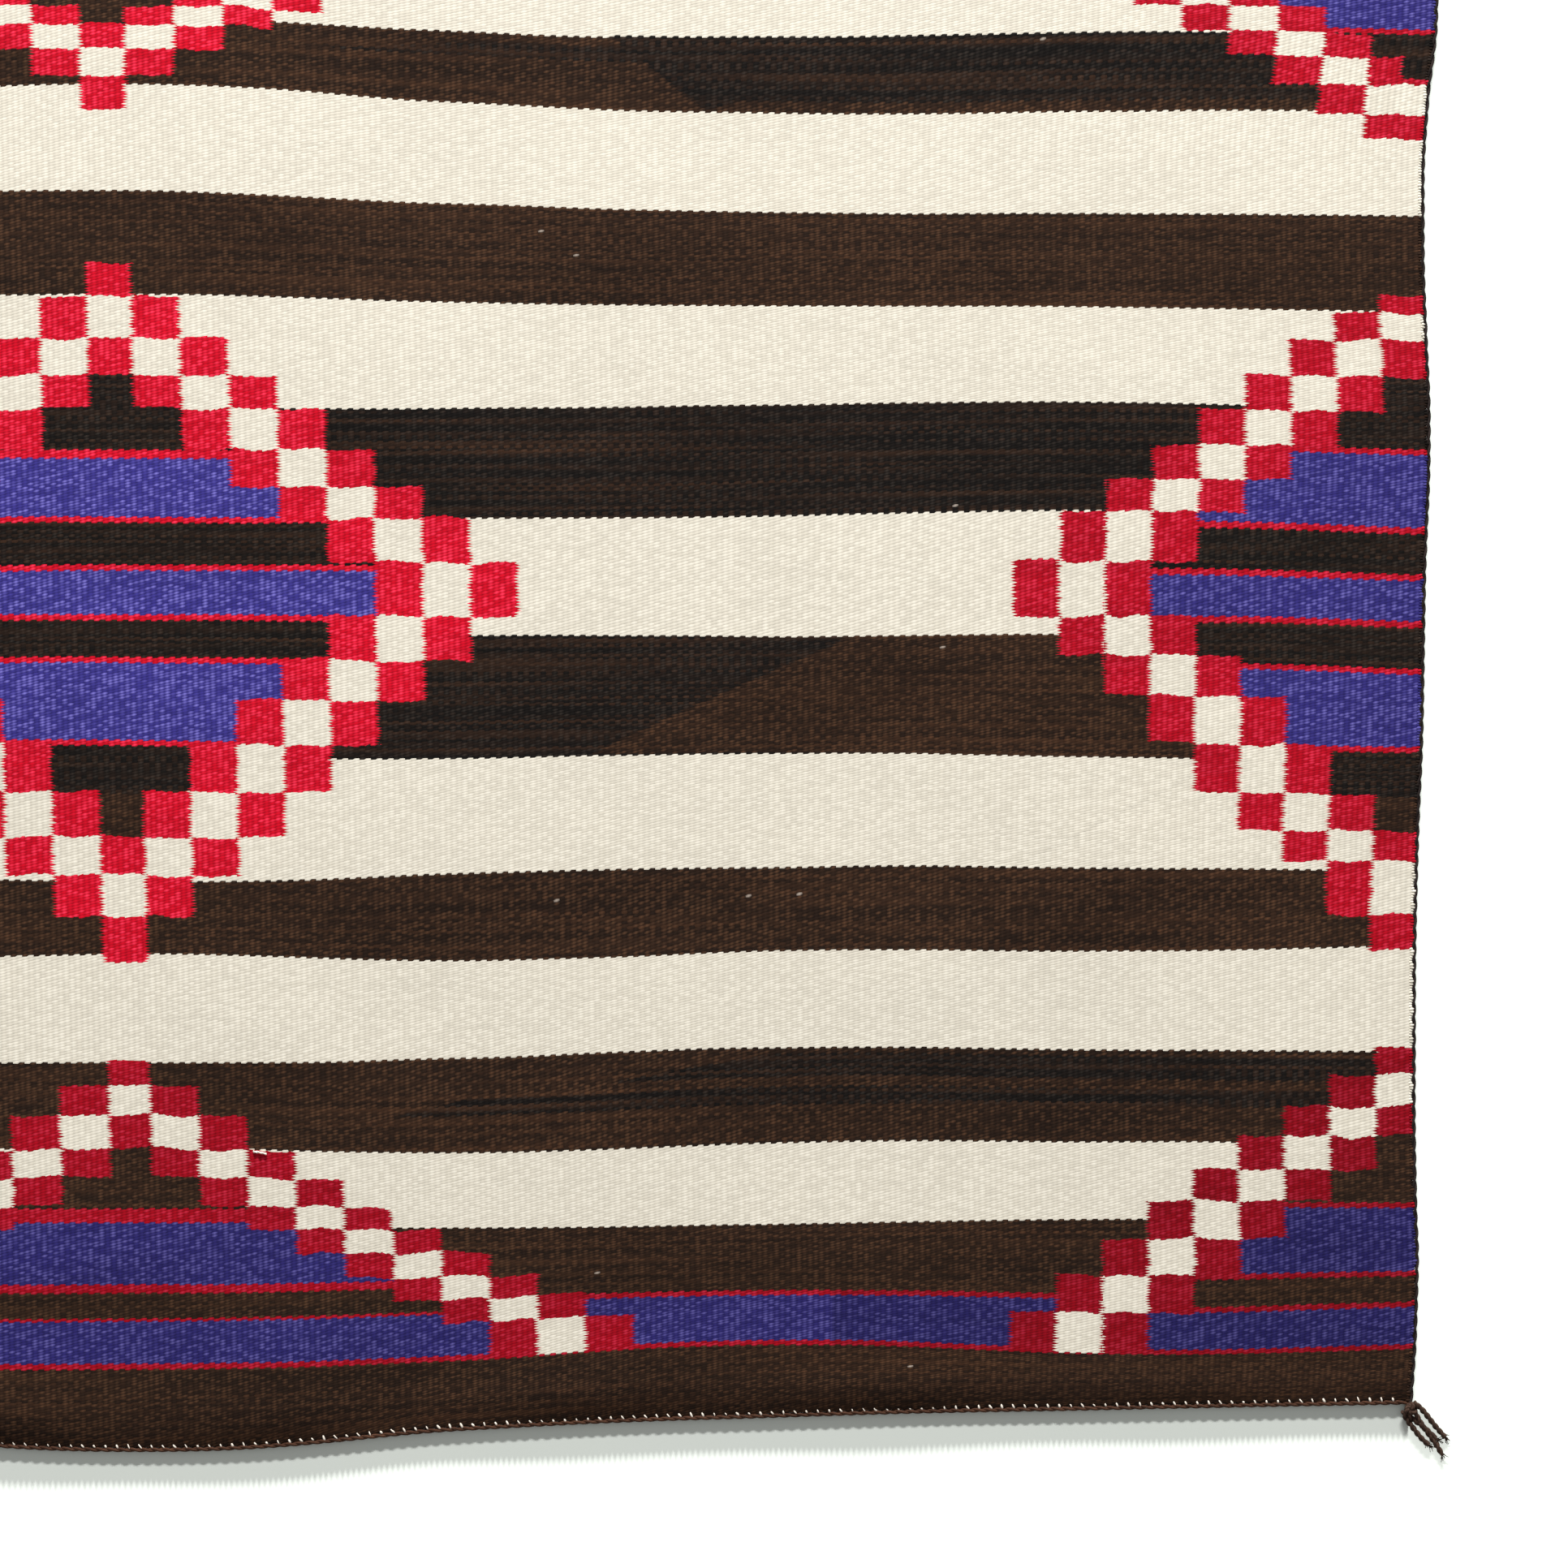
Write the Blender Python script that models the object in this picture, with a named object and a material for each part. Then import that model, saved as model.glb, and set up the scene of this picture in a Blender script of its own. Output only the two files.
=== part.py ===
"""Chief blanket laid flat: a handwoven wool cloth, a cord along each of its edges, a tassel at each corner.

Metres, +Z up. X runs across the blanket's width, Y along its warps, and its underside lies on Z = 0.
"""

import math
from collections import namedtuple

import bmesh
import bpy
from mathutils import Vector

MM = 0.001

# Driving sizes
HALF_WIDTH = 880 * MM  # of the cloth, without its cords
CLOTH_THICKNESS = 3.0 * MM
SIDE_CORD_RADIUS = 1.75 * MM
END_CORD_RADIUS = 1.5 * MM
SEAM_GAP = 0.3 * MM  # between two pieces that touch

# The cloth's rounded rim
RIM_TOP_INSET = 1.0 * MM
RIM_BOTTOM_INSET = 0.6 * MM
RIM_HEIGHT = 1.5 * MM  # of the outermost line above the floor

# Low swells of the laid cloth
SWELL = 0.25 * MM
SWELL_ACROSS = 310 * MM
SWELL_ALONG = 270 * MM
SWELL_START = 0.7  # radians
SWELL_SLANT = 0.4  # how far the swells along the warps shift across

# How finely the cloth and its cords are divided
CELLS_ACROSS = 60
CELLS_ALONG = 40
CORD_SIDES = 8

# A tassel's knot: its place beyond the cloth's corner, then the rings of its lump from the floor up
KNOT_OUT = 4.85 * MM
KNOT_SIDES = 10
KnotRing = namedtuple("KnotRing", "height radius")
KNOT_RINGS = (
    KnotRing(0.0, 3.6),
    KnotRing(1.4, 4.5),
    KnotRing(3.4, 4.6),
    KnotRing(5.2, 3.6),
    KnotRing(6.4, 1.8),
)

# A tassel's strands, in degrees from the width's direction towards the length's, and in millimetres
Strand = namedtuple("Strand", "heading turn length")
STRANDS = (
    Strand(30, 8, 38),
    Strand(47, 8, 48),
    Strand(64, 2, 32),
    Strand(81, -18, 40),
    Strand(98, -34, 35),
)
STRAND_WIDTH = 2.3 * MM
STRAND_HEIGHT = 2.6 * MM
STRAND_STEPS = 7
STRAND_TIP_SHARE = 0.6  # the tip's width over the root's
STRAND_ROOT_LIFT = 1.0 * MM  # inside the knot, above the floor that the strand runs down to
STRAND_LANDS = 0.22  # the share of its length at which a strand has reached the floor

# The four tassels: which corner, how long against STRANDS, and how far their strands are turned, in degrees
Tassel = namedtuple("Tassel", "name side end length turned")
TASSELS = (
    Tassel("tassel_bottom_right", 1, -1, 1.0, 0),
    Tassel("tassel_bottom_left", -1, -1, 0.93, -5),
    Tassel("tassel_top_right", 1, 1, 0.88, 4),
    Tassel("tassel_top_left", -1, 1, 0.96, -3),
)

# Heights in millimetres of weft lines that lay level on the loom: at the blanket's middle, then at each
# further quarter of its half width out to the side. The first and the last are the cloth's two ends.
WeftLine = namedtuple("WeftLine", "middle quarter half three_quarters side")
WEFT_LINES = (
    WeftLine(590, 577, 566, 561, 557),
    WeftLine(540, 529, 519, 518, 514),
    WeftLine(446, 436, 430, 431, 429),
    WeftLine(388, 380, 375, 378, 375),
    WeftLine(343, 330, 323, 326, 326),
    WeftLine(271, 262, 257, 259, 256),
    WeftLine(201, 196, 194, 194, 189),
    WeftLine(126, 125, 127, 130, 125),
    WeftLine(50, 51, 53, 56, 51),
    WeftLine(-25, -28, -28, -28, -32),
    WeftLine(-110, -111, -107, -110, -114),
    WeftLine(-193, -188, -183, -184, -185),
    WeftLine(-244, -248, -241, -241, -238),
    WeftLine(-315, -313, -306, -307, -308),
    WeftLine(-373, -377, -371, -370, -371),
    WeftLine(-428, -428, -425, -423, -422),
    WeftLine(-526, -520, -509, -513, -510),
    WeftLine(-576, -562, -553, -548, -544),
)

# How far the right edge strays outwards from HALF_WIDTH at each height, in millimetres
EdgePoint = namedtuple("EdgePoint", "height out")
RIGHT_EDGE = (
    EdgePoint(590, 3),
    EdgePoint(500, 6),
    EdgePoint(401, 9),
    EdgePoint(350, 3),
    EdgePoint(270, 0),
    EdgePoint(181, 2),
    EdgePoint(99, 4),
    EdgePoint(16, 1),
    EdgePoint(-93, -1),
    EdgePoint(-176, -4),
    EdgePoint(-313, -6),
    EdgePoint(-423, -5),
    EdgePoint(-462, -4),
    EdgePoint(-576, -8),
)
LEFT_EDGE = tuple(EdgePoint(-p.height, -0.8 * p.out) for p in reversed(RIGHT_EDGE))

# The middle warp leans: it crosses the width's centre at this height, and strays by this share of the rest
MIDDLE_CROSSES = 38 * MM
MIDDLE_LEAN = 0.0265

Finish = namedtuple("Finish", "colour roughness")
CLOTH_FINISH = Finish((0.80, 0.74, 0.62), 0.9)
CORD_FINISH = Finish((0.030, 0.018, 0.012), 0.85)
TASSEL_FINISH = Finish((0.042, 0.024, 0.015), 0.85)


def smooth_curve(places, values, at):
    """The smooth curve through values at rising places, read at one place and held level past the ends."""
    if at <= places[0]:
        return values[0]
    if at >= places[-1]:
        return values[-1]
    i = next(k for k in range(len(places) - 1) if at <= places[k + 1])

    def slope(k):
        before, after = max(k - 1, 0), min(k + 1, len(places) - 1)
        return (values[after] - values[before]) / (places[after] - places[before])

    span = places[i + 1] - places[i]
    t = (at - places[i]) / span
    start = values[i] + span * t * slope(i)
    end = values[i + 1] - span * (1 - t) * slope(i + 1)
    ease = t * t * (3 - 2 * t)
    return start + (end - start) * ease


def line_height(line, across):
    """A weft line's height at a place across the cloth, the same on both sides of its middle."""
    quarters = [k * HALF_WIDTH / 4 for k in range(-4, 5)]
    heights = [h * MM for h in line]
    return smooth_curve(quarters, heights[:0:-1] + heights, across)


def cloth_height(across, along):
    """Where a point that lies at height `along` in the middle of the blanket lies at this place across."""
    for upper, lower in zip(WEFT_LINES, WEFT_LINES[1:]):
        if along >= lower.middle * MM or lower is WEFT_LINES[-1]:
            share = (along - lower.middle * MM) / ((upper.middle - lower.middle) * MM)
            low, high = line_height(lower, across), line_height(upper, across)
            return low + (high - low) * share


def edge_stray(edge, along):
    """How far one side's edge strays outwards at a height."""
    rising = sorted(edge)
    return smooth_curve([p.height * MM for p in rising], [p.out * MM for p in rising], along)


def cloth_point(across, along):
    """The plan position of the cloth's point that lay at (across, along) on the loom."""
    middle = MIDDLE_LEAN * (MIDDLE_CROSSES - along)
    side = math.copysign(1, across)
    stray = edge_stray(RIGHT_EDGE if side > 0 else LEFT_EDGE, along)
    edge = side * (HALF_WIDTH + stray)
    share = abs(across) / HALF_WIDTH
    return Vector((middle + (edge - middle) * share, cloth_height(across, along), 0))


def stations(low, high, cells):
    return [low + (high - low) * k / cells for k in range(cells + 1)]


ACROSS = stations(-HALF_WIDTH, HALF_WIDTH, CELLS_ACROSS)
ALONG = stations(WEFT_LINES[-1].middle * MM, WEFT_LINES[0].middle * MM, CELLS_ALONG)


def top_height(point):
    """The upper face's height over the floor, with its low swells."""
    across = math.sin(math.tau * point.x / SWELL_ACROSS + SWELL_START)
    along = math.sin(math.tau * (point.y + SWELL_SLANT * point.x) / SWELL_ALONG)
    return CLOTH_THICKNESS + SWELL * across * along


def clear_scene():
    for old in list(bpy.data.objects):
        bpy.data.objects.remove(old)


def woollen(name, finish):
    material = bpy.data.materials.new(name)
    material.use_nodes = True
    shader = material.node_tree.nodes["Principled BSDF"]
    shader.inputs["Base Color"].default_value = (*finish.colour, 1)
    shader.inputs["Roughness"].default_value = finish.roughness
    shader.inputs["Metallic"].default_value = 0
    return material


def make_object(name, shape, material):
    """One named object from a bmesh, with its faces turned outwards."""
    bmesh.ops.recalc_face_normals(shape, faces=shape.faces)
    mesh = bpy.data.meshes.new(name)
    shape.to_mesh(mesh)
    shape.free()
    mesh.materials.append(material)
    made = bpy.data.objects.new(name, mesh)
    bpy.context.scene.collection.objects.link(made)
    return made


def woven_cloth(material):
    """The cloth: a swelling upper face, a rounded rim and a flat underside."""
    shape = bmesh.new()
    last_i, last_j = CELLS_ACROSS, CELLS_ALONG

    def inward(i, j):
        x = (i == 0) - (i == last_i)
        y = (j == 0) - (j == last_j)
        return Vector((x, y, 0))

    top = []
    for i, across in enumerate(ACROSS):
        column = []
        for j, along in enumerate(ALONG):
            point = cloth_point(across, along) + inward(i, j) * RIM_TOP_INSET
            point.z = top_height(point)
            column.append(shape.verts.new(point))
        top.append(column)
    for i in range(last_i):
        for j in range(last_j):
            shape.faces.new((top[i][j], top[i + 1][j], top[i + 1][j + 1], top[i][j + 1]))

    around = [(i, 0) for i in range(last_i)]
    around += [(last_i, j) for j in range(last_j)]
    around += [(i, last_j) for i in range(last_i, 0, -1)]
    around += [(0, j) for j in range(last_j, 0, -1)]
    rings = [[top[i][j] for i, j in around]]
    for inset, height in ((0, RIM_HEIGHT), (RIM_BOTTOM_INSET, 0)):
        ring = []
        for i, j in around:
            point = cloth_point(ACROSS[i], ALONG[j]) + inward(i, j) * inset
            point.z = height
            ring.append(shape.verts.new(point))
        rings.append(ring)
    for upper, lower in zip(rings, rings[1:]):
        for k in range(len(around)):
            n = (k + 1) % len(around)
            shape.faces.new((upper[k], upper[n], lower[n], lower[k]))
    underside = shape.faces.new(rings[-1])
    bmesh.ops.triangulate(shape, faces=[underside])
    return make_object("woven_cloth", shape, material)


def cord(name, path, outwards, radius, material):
    """A cord lying on the floor along a path, its section upright and square to the edge that it follows."""
    shape = bmesh.new()
    reach = radius / math.cos(math.pi / CORD_SIDES)
    rings = []
    for point in path:
        ring = []
        for k in range(CORD_SIDES):
            angle = math.tau * (k + 0.5) / CORD_SIDES
            offset = outwards * reach * math.cos(angle)
            ring.append(shape.verts.new(point + offset + Vector((0, 0, radius + reach * math.sin(angle)))))
        rings.append(ring)
    for near, far in zip(rings, rings[1:]):
        for k in range(CORD_SIDES):
            n = (k + 1) % CORD_SIDES
            shape.faces.new((near[k], near[n], far[n], far[k]))
    shape.faces.new(rings[0])
    shape.faces.new(rings[-1])
    return make_object(name, shape, material)


def side_cord(name, side, material):
    outwards = Vector((side, 0, 0))
    shift = outwards * (SEAM_GAP + SIDE_CORD_RADIUS)
    path = [cloth_point(side * HALF_WIDTH, along) + shift for along in ALONG]
    return cord(name, path, outwards, SIDE_CORD_RADIUS, material)


def end_cord(name, end, material):
    outwards = Vector((0, end, 0))
    shift = outwards * (SEAM_GAP + END_CORD_RADIUS)
    along = ALONG[-1] if end > 0 else ALONG[0]
    path = [cloth_point(across, along) + shift for across in ACROSS]
    return cord(name, path, outwards, END_CORD_RADIUS, material)


def knot_shape():
    """The knot's lump, centred on the Z axis."""
    shape = bmesh.new()
    rings = []
    for ring in KNOT_RINGS:
        verts = []
        for k in range(KNOT_SIDES):
            angle = math.tau * k / KNOT_SIDES
            spot = Vector((math.cos(angle), math.sin(angle), 0)) * ring.radius * MM
            verts.append(shape.verts.new(spot + Vector((0, 0, ring.height * MM))))
        rings.append(verts)
    for lower, upper in zip(rings, rings[1:]):
        for k in range(KNOT_SIDES):
            n = (k + 1) % KNOT_SIDES
            shape.faces.new((lower[k], lower[n], upper[n], upper[k]))
    shape.faces.new(rings[0])
    shape.faces.new(rings[-1])
    return shape


def strand_shape(strand, tassel):
    """One square strand that runs out of the knot and lies level on the floor."""
    shape = bmesh.new()
    length = strand.length * tassel.length * MM
    heading = math.radians(strand.heading + tassel.turned)
    turn = math.radians(strand.turn) / STRAND_STEPS
    spot = Vector((0, 0, 0))
    rings = []
    for k in range(STRAND_STEPS + 1):
        share = k / STRAND_STEPS
        width = STRAND_WIDTH * (1 - (1 - STRAND_TIP_SHARE) * share)
        height = STRAND_HEIGHT * (1 - (1 - STRAND_TIP_SHARE) * share)
        base = STRAND_ROOT_LIFT * max(0, 1 - share / STRAND_LANDS)
        beside = Vector((-math.sin(heading), math.cos(heading), 0)) * width / 2
        corners = ((-1, 0), (1, 0), (1, 1), (-1, 1))
        ring = [spot + beside * a + Vector((0, 0, base + height * b)) for a, b in corners]
        rings.append([shape.verts.new(p) for p in ring])
        heading += turn
        spot = spot + Vector((math.cos(heading), math.sin(heading), 0)) * length / STRAND_STEPS
    for near, far in zip(rings, rings[1:]):
        for k in range(4):
            n = (k + 1) % 4
            shape.faces.new((near[k], near[n], far[n], far[k]))
    shape.faces.new(rings[0])
    shape.faces.new(rings[-1])
    return shape


def to_corner(shape, tassel):
    """Turns a shape made for the outward quarter of one corner to its own corner, and sets it there."""
    along = ALONG[-1] if tassel.end > 0 else ALONG[0]
    corner = cloth_point(tassel.side * HALF_WIDTH, along)
    for vert in shape.verts:
        x = (vert.co.x + KNOT_OUT) * tassel.side
        y = (vert.co.y + KNOT_OUT) * tassel.end
        vert.co = Vector((corner.x + x, corner.y + y, vert.co.z))
    return shape


def tassel_object(tassel, material):
    """A knot with its strands fused into it, as one body."""
    body = make_object(tassel.name, to_corner(knot_shape(), tassel), material)
    for number, strand in enumerate(STRANDS):
        lock = make_object(f"lock_{number}", to_corner(strand_shape(strand, tassel), tassel), material)
        join = body.modifiers.new("join", "BOOLEAN")
        join.operation = "UNION"
        join.object = lock
        joined = bpy.data.meshes.new_from_object(body.evaluated_get(bpy.context.evaluated_depsgraph_get()))
        body.modifiers.remove(join)
        body.data = joined
        bpy.data.objects.remove(lock)
    body.data.name = tassel.name
    return body


def set_origin_below_middle(pieces):
    """Moves every piece alike, so that the origin lies under the middle of the whole blanket."""
    points = [vert.co for piece in pieces for vert in piece.data.vertices]
    middle_x = (min(p.x for p in points) + max(p.x for p in points)) / 2
    middle_y = (min(p.y for p in points) + max(p.y for p in points)) / 2
    for piece in pieces:
        for vert in piece.data.vertices:
            vert.co -= Vector((middle_x, middle_y, 0))


def main():
    clear_scene()
    cord_wool = woollen("cord_wool", CORD_FINISH)
    tassel_wool = woollen("tassel_wool", TASSEL_FINISH)
    pieces = [
        woven_cloth(woollen("cloth_wool", CLOTH_FINISH)),
        side_cord("side_cord_right", 1, cord_wool),
        side_cord("side_cord_left", -1, cord_wool),
        end_cord("end_cord_top", 1, cord_wool),
        end_cord("end_cord_bottom", -1, cord_wool),
    ]
    pieces += [tassel_object(tassel, tassel_wool) for tassel in TASSELS]
    set_origin_below_middle(pieces)


main()
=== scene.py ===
"""Looks of a wool chief blanket laid flat: its weave and stepped diamonds, its twisted cords and its tassels.

Metres, +Z up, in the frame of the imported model. "Across" and "along" are a point's place on the loom, before
the finished cloth drew in: across from the middle warp, along from the middle of the length.
"""

import math
from collections import namedtuple

import bpy
import numpy as np
from bpy.props import FloatProperty, FloatVectorProperty, IntProperty, PointerProperty
from bpy.types import Operator, Panel, PropertyGroup
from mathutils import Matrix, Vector


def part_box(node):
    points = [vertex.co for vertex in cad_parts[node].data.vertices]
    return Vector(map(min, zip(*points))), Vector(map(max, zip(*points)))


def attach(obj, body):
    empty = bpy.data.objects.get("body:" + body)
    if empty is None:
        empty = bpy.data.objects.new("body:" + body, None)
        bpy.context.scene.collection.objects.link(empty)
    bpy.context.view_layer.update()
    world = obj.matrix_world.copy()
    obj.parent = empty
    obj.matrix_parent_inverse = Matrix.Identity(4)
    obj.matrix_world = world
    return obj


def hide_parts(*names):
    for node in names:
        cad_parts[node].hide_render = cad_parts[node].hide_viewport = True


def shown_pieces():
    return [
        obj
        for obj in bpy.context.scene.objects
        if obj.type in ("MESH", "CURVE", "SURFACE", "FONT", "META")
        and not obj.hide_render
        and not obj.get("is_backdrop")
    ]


bl_info = {
    "name": "Chief Blanket Looks",
    "version": (1, 0, 0),
    "blender": (4, 5, 0),
    "location": "3D View > Sidebar > Blanket",
    "description": "Weaves, twists and ties the pieces of a wool blanket round its solids",
    "category": "Add Mesh",
}

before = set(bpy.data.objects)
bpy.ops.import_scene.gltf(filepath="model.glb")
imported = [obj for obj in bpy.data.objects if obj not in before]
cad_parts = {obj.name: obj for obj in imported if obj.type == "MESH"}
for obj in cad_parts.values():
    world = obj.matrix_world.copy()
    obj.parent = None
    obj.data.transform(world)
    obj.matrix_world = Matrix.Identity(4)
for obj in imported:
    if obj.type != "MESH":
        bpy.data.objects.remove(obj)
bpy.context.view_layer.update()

BODY = "root"
MM = 0.001

# Driving sizes of the cloth and its cords
HALF_WIDTH = 880 * MM
CLOTH_THICKNESS = 3.0 * MM
SIDE_CORD_OUT = 1.25 * MM  # from the selvage to the cord's middle
END_CORD_OUT = 1.4 * MM
CORD_HEIGHT = 2.0 * MM

# Low swells of the laid cloth
SWELL = 0.25 * MM
SWELL_ACROSS = 310 * MM
SWELL_ALONG = 270 * MM
SWELL_START = 0.7  # radians
SWELL_SLANT = 0.4

# Heights in millimetres of weft lines that lay level on the loom: at the blanket's middle, then at each
# further quarter of its half width out to the side. The first and the last are the cloth's two ends.
WeftLine = namedtuple("WeftLine", "middle quarter half three_quarters side")
WEFT_LINES = tuple(WeftLine(*heights) for heights in (
    (590, 577, 566, 561, 557),
    (540, 529, 519, 518, 514),
    (446, 436, 430, 431, 429),
    (388, 380, 375, 378, 375),
    (343, 330, 323, 324, 323),
    (271, 262, 257, 255.5, 253),
    (201, 196, 194, 192.5, 189),
    (126, 125, 127, 130, 125),
    (50, 51, 53, 56, 51),
    (-25, -28, -28, -28, -32),
    (-110, -111, -107, -110, -114),
    (-193, -188, -183, -184, -185),
    (-244, -248, -241, -241, -238),
    (-315, -313, -306, -307, -308),
    (-373, -377, -371, -370, -371),
    (-428, -428, -425, -423, -422),
    (-522, -516, -506, -512, -509),
    (-576, -562, -553, -548, -544),
))
BOTTOM, TOP = WEFT_LINES[-1].middle * MM, WEFT_LINES[0].middle * MM

# How far the right edge strays outwards from HALF_WIDTH at each height, in millimetres
EdgePoint = namedtuple("EdgePoint", "height out")
RIGHT_EDGE = tuple(EdgePoint(*point) for point in (
    (590, 3), (500, 6), (401, 9), (350, 3), (270, 0), (181, 2), (99, 4), (16, 1), (-93, -1), (-176, -4),
    (-313, -6), (-423, -5), (-462, -4), (-576, -8),
))
LEFT_EDGE = tuple(EdgePoint(-p.height, -0.8 * p.out) for p in reversed(RIGHT_EDGE))

# The middle warp leans: it crosses the width's centre at this height, and strays by this share of the rest
MIDDLE_CROSSES = 38 * MM
MIDDLE_LEAN = 0.0265

# The yarns by number
YARNS = ("white", "red", "blue", "black", "brown")
WHITE, RED, BLUE, BLACK, BROWN = range(len(YARNS))

Band = namedtuple("Band", "start yarn")


def banded(*pairs):
    """Bands from pairs of where one starts and its yarn."""
    return tuple(Band(*pair) for pair in pairs)


# Stripes from the bottom up: where each starts, in millimetres in the blanket's middle, and its yarn
STRIPES = banded(
    (-600, BROWN), (-522, RED), (-518, BLUE), (-483, RED), (-479, BROWN),
    (-428, WHITE), (-373, BROWN), (-315, WHITE), (-244, BROWN), (-193, WHITE),
    (-110, BLACK), (-25, WHITE), (50, BLACK), (126, WHITE), (201, BROWN),
    (271, WHITE), (343, BROWN), (388, WHITE), (446, BROWN), (497, RED),
    (504, BLUE), (536, RED), (540, BROWN),
)

# What fills the diamonds of the middle column, inside their three outlines
MIDDLE_FILL = banded(
    (-522, RED), (-518, BLUE), (-490, RED), (-486, BROWN), (-472, RED),
    (-465, BLUE), (-423, RED), (-414, BROWN),
    (-165, BROWN), (-134, BLACK), (-102, RED), (-98, BLUE), (-46, RED),
    (-42, BLACK), (-18, RED), (-14, BLUE), (16, RED), (19.5, BLACK),
    (47, RED), (51, BLUE), (92, RED), (97, BLACK),
    (383, BROWN), (410, RED), (418, BLUE), (460, RED), (469, BROWN),
    (485, RED), (493, BLUE), (525, RED),
)

# What fills the half diamonds at the sides and the quarter diamonds at the corners
SIDE_FILL = banded(
    (-522, RED), (-518, BLUE), (-491.5, RED), (-488, BROWN), (-469, RED),
    (-465.5, BLUE), (-420, RED), (-416, BROWN),
    (-165, BROWN), (-136, BLACK), (-102, RED), (-98, BLUE), (-48, RED),
    (-44, BLACK), (-18, RED), (-14, BLUE), (12, RED), (15.5, BLACK),
    (40, RED), (44, BLUE), (93, RED), (96.5, BLACK),
    (362, BLACK), (390, RED), (393.5, BLUE), (460, RED), (466, BROWN),
    (486, RED), (492, BLUE), (525, RED),
)

# The stepped diamonds: how far out of the middle the first column of steps reaches and how wide each next one
# is, how many steps there are, which row is the widest, and the heights between the rows, all from the bottom
# up and in millimetres. A diamond at a side is measured inwards from the selvage.
Diamond = namedtuple("Diamond", "at_side first cell steps widest edges")
DIAMONDS = {
    "middle": Diamond(
        False, 15, 32, 8, 9,
        (-248.5, -218.5, -190, -164.5, -134, -101.5, -71, -43, -13.5,
         21, 50, 71.5, 97, 125, 147, 172, 200, 222),
    ),
    "bottom end": Diamond(
        False, 14, 32.9, 10, 1,
        (-525, -496, -479, -463, -446, -429, -413, -393, -374, -352, -332, -315),
    ),
    "top end": Diamond(
        False, 15, 32.7, 10, 11,
        (326, 349, 367, 383, 396, 410, 430, 450.5, 471, 491, 512, 532),
    ),
    "side": Diamond(
        True, 28, 30.8, 8, 9,
        (-246, -223, -188, -164.5, -136, -99.5, -67, -39, -14, 19, 49.5, 72, 96, 121.5, 149, 178, 200, 213),
    ),
    "bottom corner": Diamond(
        True, 24, 31.6, 8, 1,
        (-525, -493, -466.5, -441.5, -415, -392, -368.5, -350, -330, -313.5),
    ),
    "top corner": Diamond(
        True, 39, 31.5, 8, 9,
        (325, 342, 359, 375, 389.5, 408.5, 438, 469, 500, 532),
    ),
}
BORDER_BELOW, BORDER_ABOVE = -522 * MM, 532 * MM

# At the upper corners the fill reaches one row further down, beside the selvage
STEM_WIDTH = 17 * MM
STEM_LOW, STEM_HIGH = 362 * MM, 379 * MM

# Lazy lines: slanting joins between two weavers' sections within a stripe. Where one starts, at the stripe's
# lower edge, how far it drifts to the right for each step up, and what changes on its right.
LazyLine = namedtuple("LazyLine", "low high foot drift turns_to")
LAZY_LINES = (
    LazyLine(343, 388, 404, -1.5, BLACK),
    LazyLine(343, 350, 395, 4, BROWN),
    LazyLine(373, 381, 150, 12, BLACK),
    LazyLine(-110, -25, 318, 2.1, BROWN),
    LazyLine(-373, -315, 205, -1.6, None),
    LazyLine(-350, -340, 180, 5, BLACK),
    LazyLine(-334, -320, 330, 8, BLACK),
    LazyLine(201, 271, 55, 1.5, None),
    LazyLine(-193, -110, 610, 1.7, None),
)


def from_bytes(red, green, blue):
    """A colour as a screen shows it, turned to the renderer's linear values."""
    shares = [c / 255 for c in (red, green, blue)]
    return tuple(c / 12.92 if c <= 0.04045 else ((c + 0.055) / 1.055) ** 2.4 for c in shares)


def colour_setting(name, description, *as_bytes):
    return FloatVectorProperty(
        name=name, description=description, subtype="COLOR", size=3, min=0, max=1,
        default=from_bytes(*as_bytes),
    )


def length_setting(name, description, default):
    return FloatProperty(
        name=name, description=description, default=default, min=0, unit="LENGTH", precision=5
    )


class WeaveSettings(PropertyGroup):
    """Threads and yarns of the web"""

    warps: IntProperty(name="Warps", description="Warp threads across the width", default=456, min=8)
    weft: length_setting("Weft Spacing", "From one pick of weft to the next", 0.95 * MM)
    rib_relief: length_setting("Rib Relief", "Height of the ribs over their grooves", 0.4 * MM)
    bead_relief: length_setting("Bead Relief", "Height of a weft where it crosses a warp", 0.06 * MM)
    white: colour_setting("White", "Undyed white wool", 240, 232, 214)
    red: colour_setting("Red", "Wool of the diamonds' outlines", 228, 10, 41)
    blue: colour_setting("Blue", "Indigo wool", 67, 60, 150)
    black: colour_setting("Black", "Darkest wool", 23, 19, 17)
    brown: colour_setting("Brown", "Dark brown wool", 44, 30, 22)
    white_crest: colour_setting("White Crest", "White wool where it catches the light", 255, 250, 236)
    red_crest: colour_setting("Red Crest", "Red wool where it catches the light", 252, 70, 104)
    blue_crest: colour_setting("Blue Crest", "Indigo wool where it catches the light", 146, 138, 220)
    black_crest: colour_setting("Black Crest", "Black wool where it catches the light", 62, 54, 48)
    brown_crest: colour_setting("Brown Crest", "Brown wool where it catches the light", 104, 72, 50)


class CordSettings(PropertyGroup):
    """Cords along the edges and the tassels"""

    side_wool: colour_setting("Side Wool", "Black wool of the side cords", 34, 28, 27)
    end_wool: colour_setting("End Wool", "Brown wool of the end cords", 62, 40, 30)
    tassel_wool: colour_setting("Tassel Wool", "Dark wool of the tassels", 46, 31, 26)
    warp_wool: colour_setting("Warp Wool", "Pale wool of the warp loops", 238, 226, 210)
    side_twist: length_setting("Side Twist", "One turn of a side cord", 20 * MM)
    end_twist: length_setting("End Twist", "One turn of an end cord", 15 * MM)
    tassel_twist: length_setting("Tassel Twist", "One turn of a tassel's strand", 9 * MM)


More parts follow.
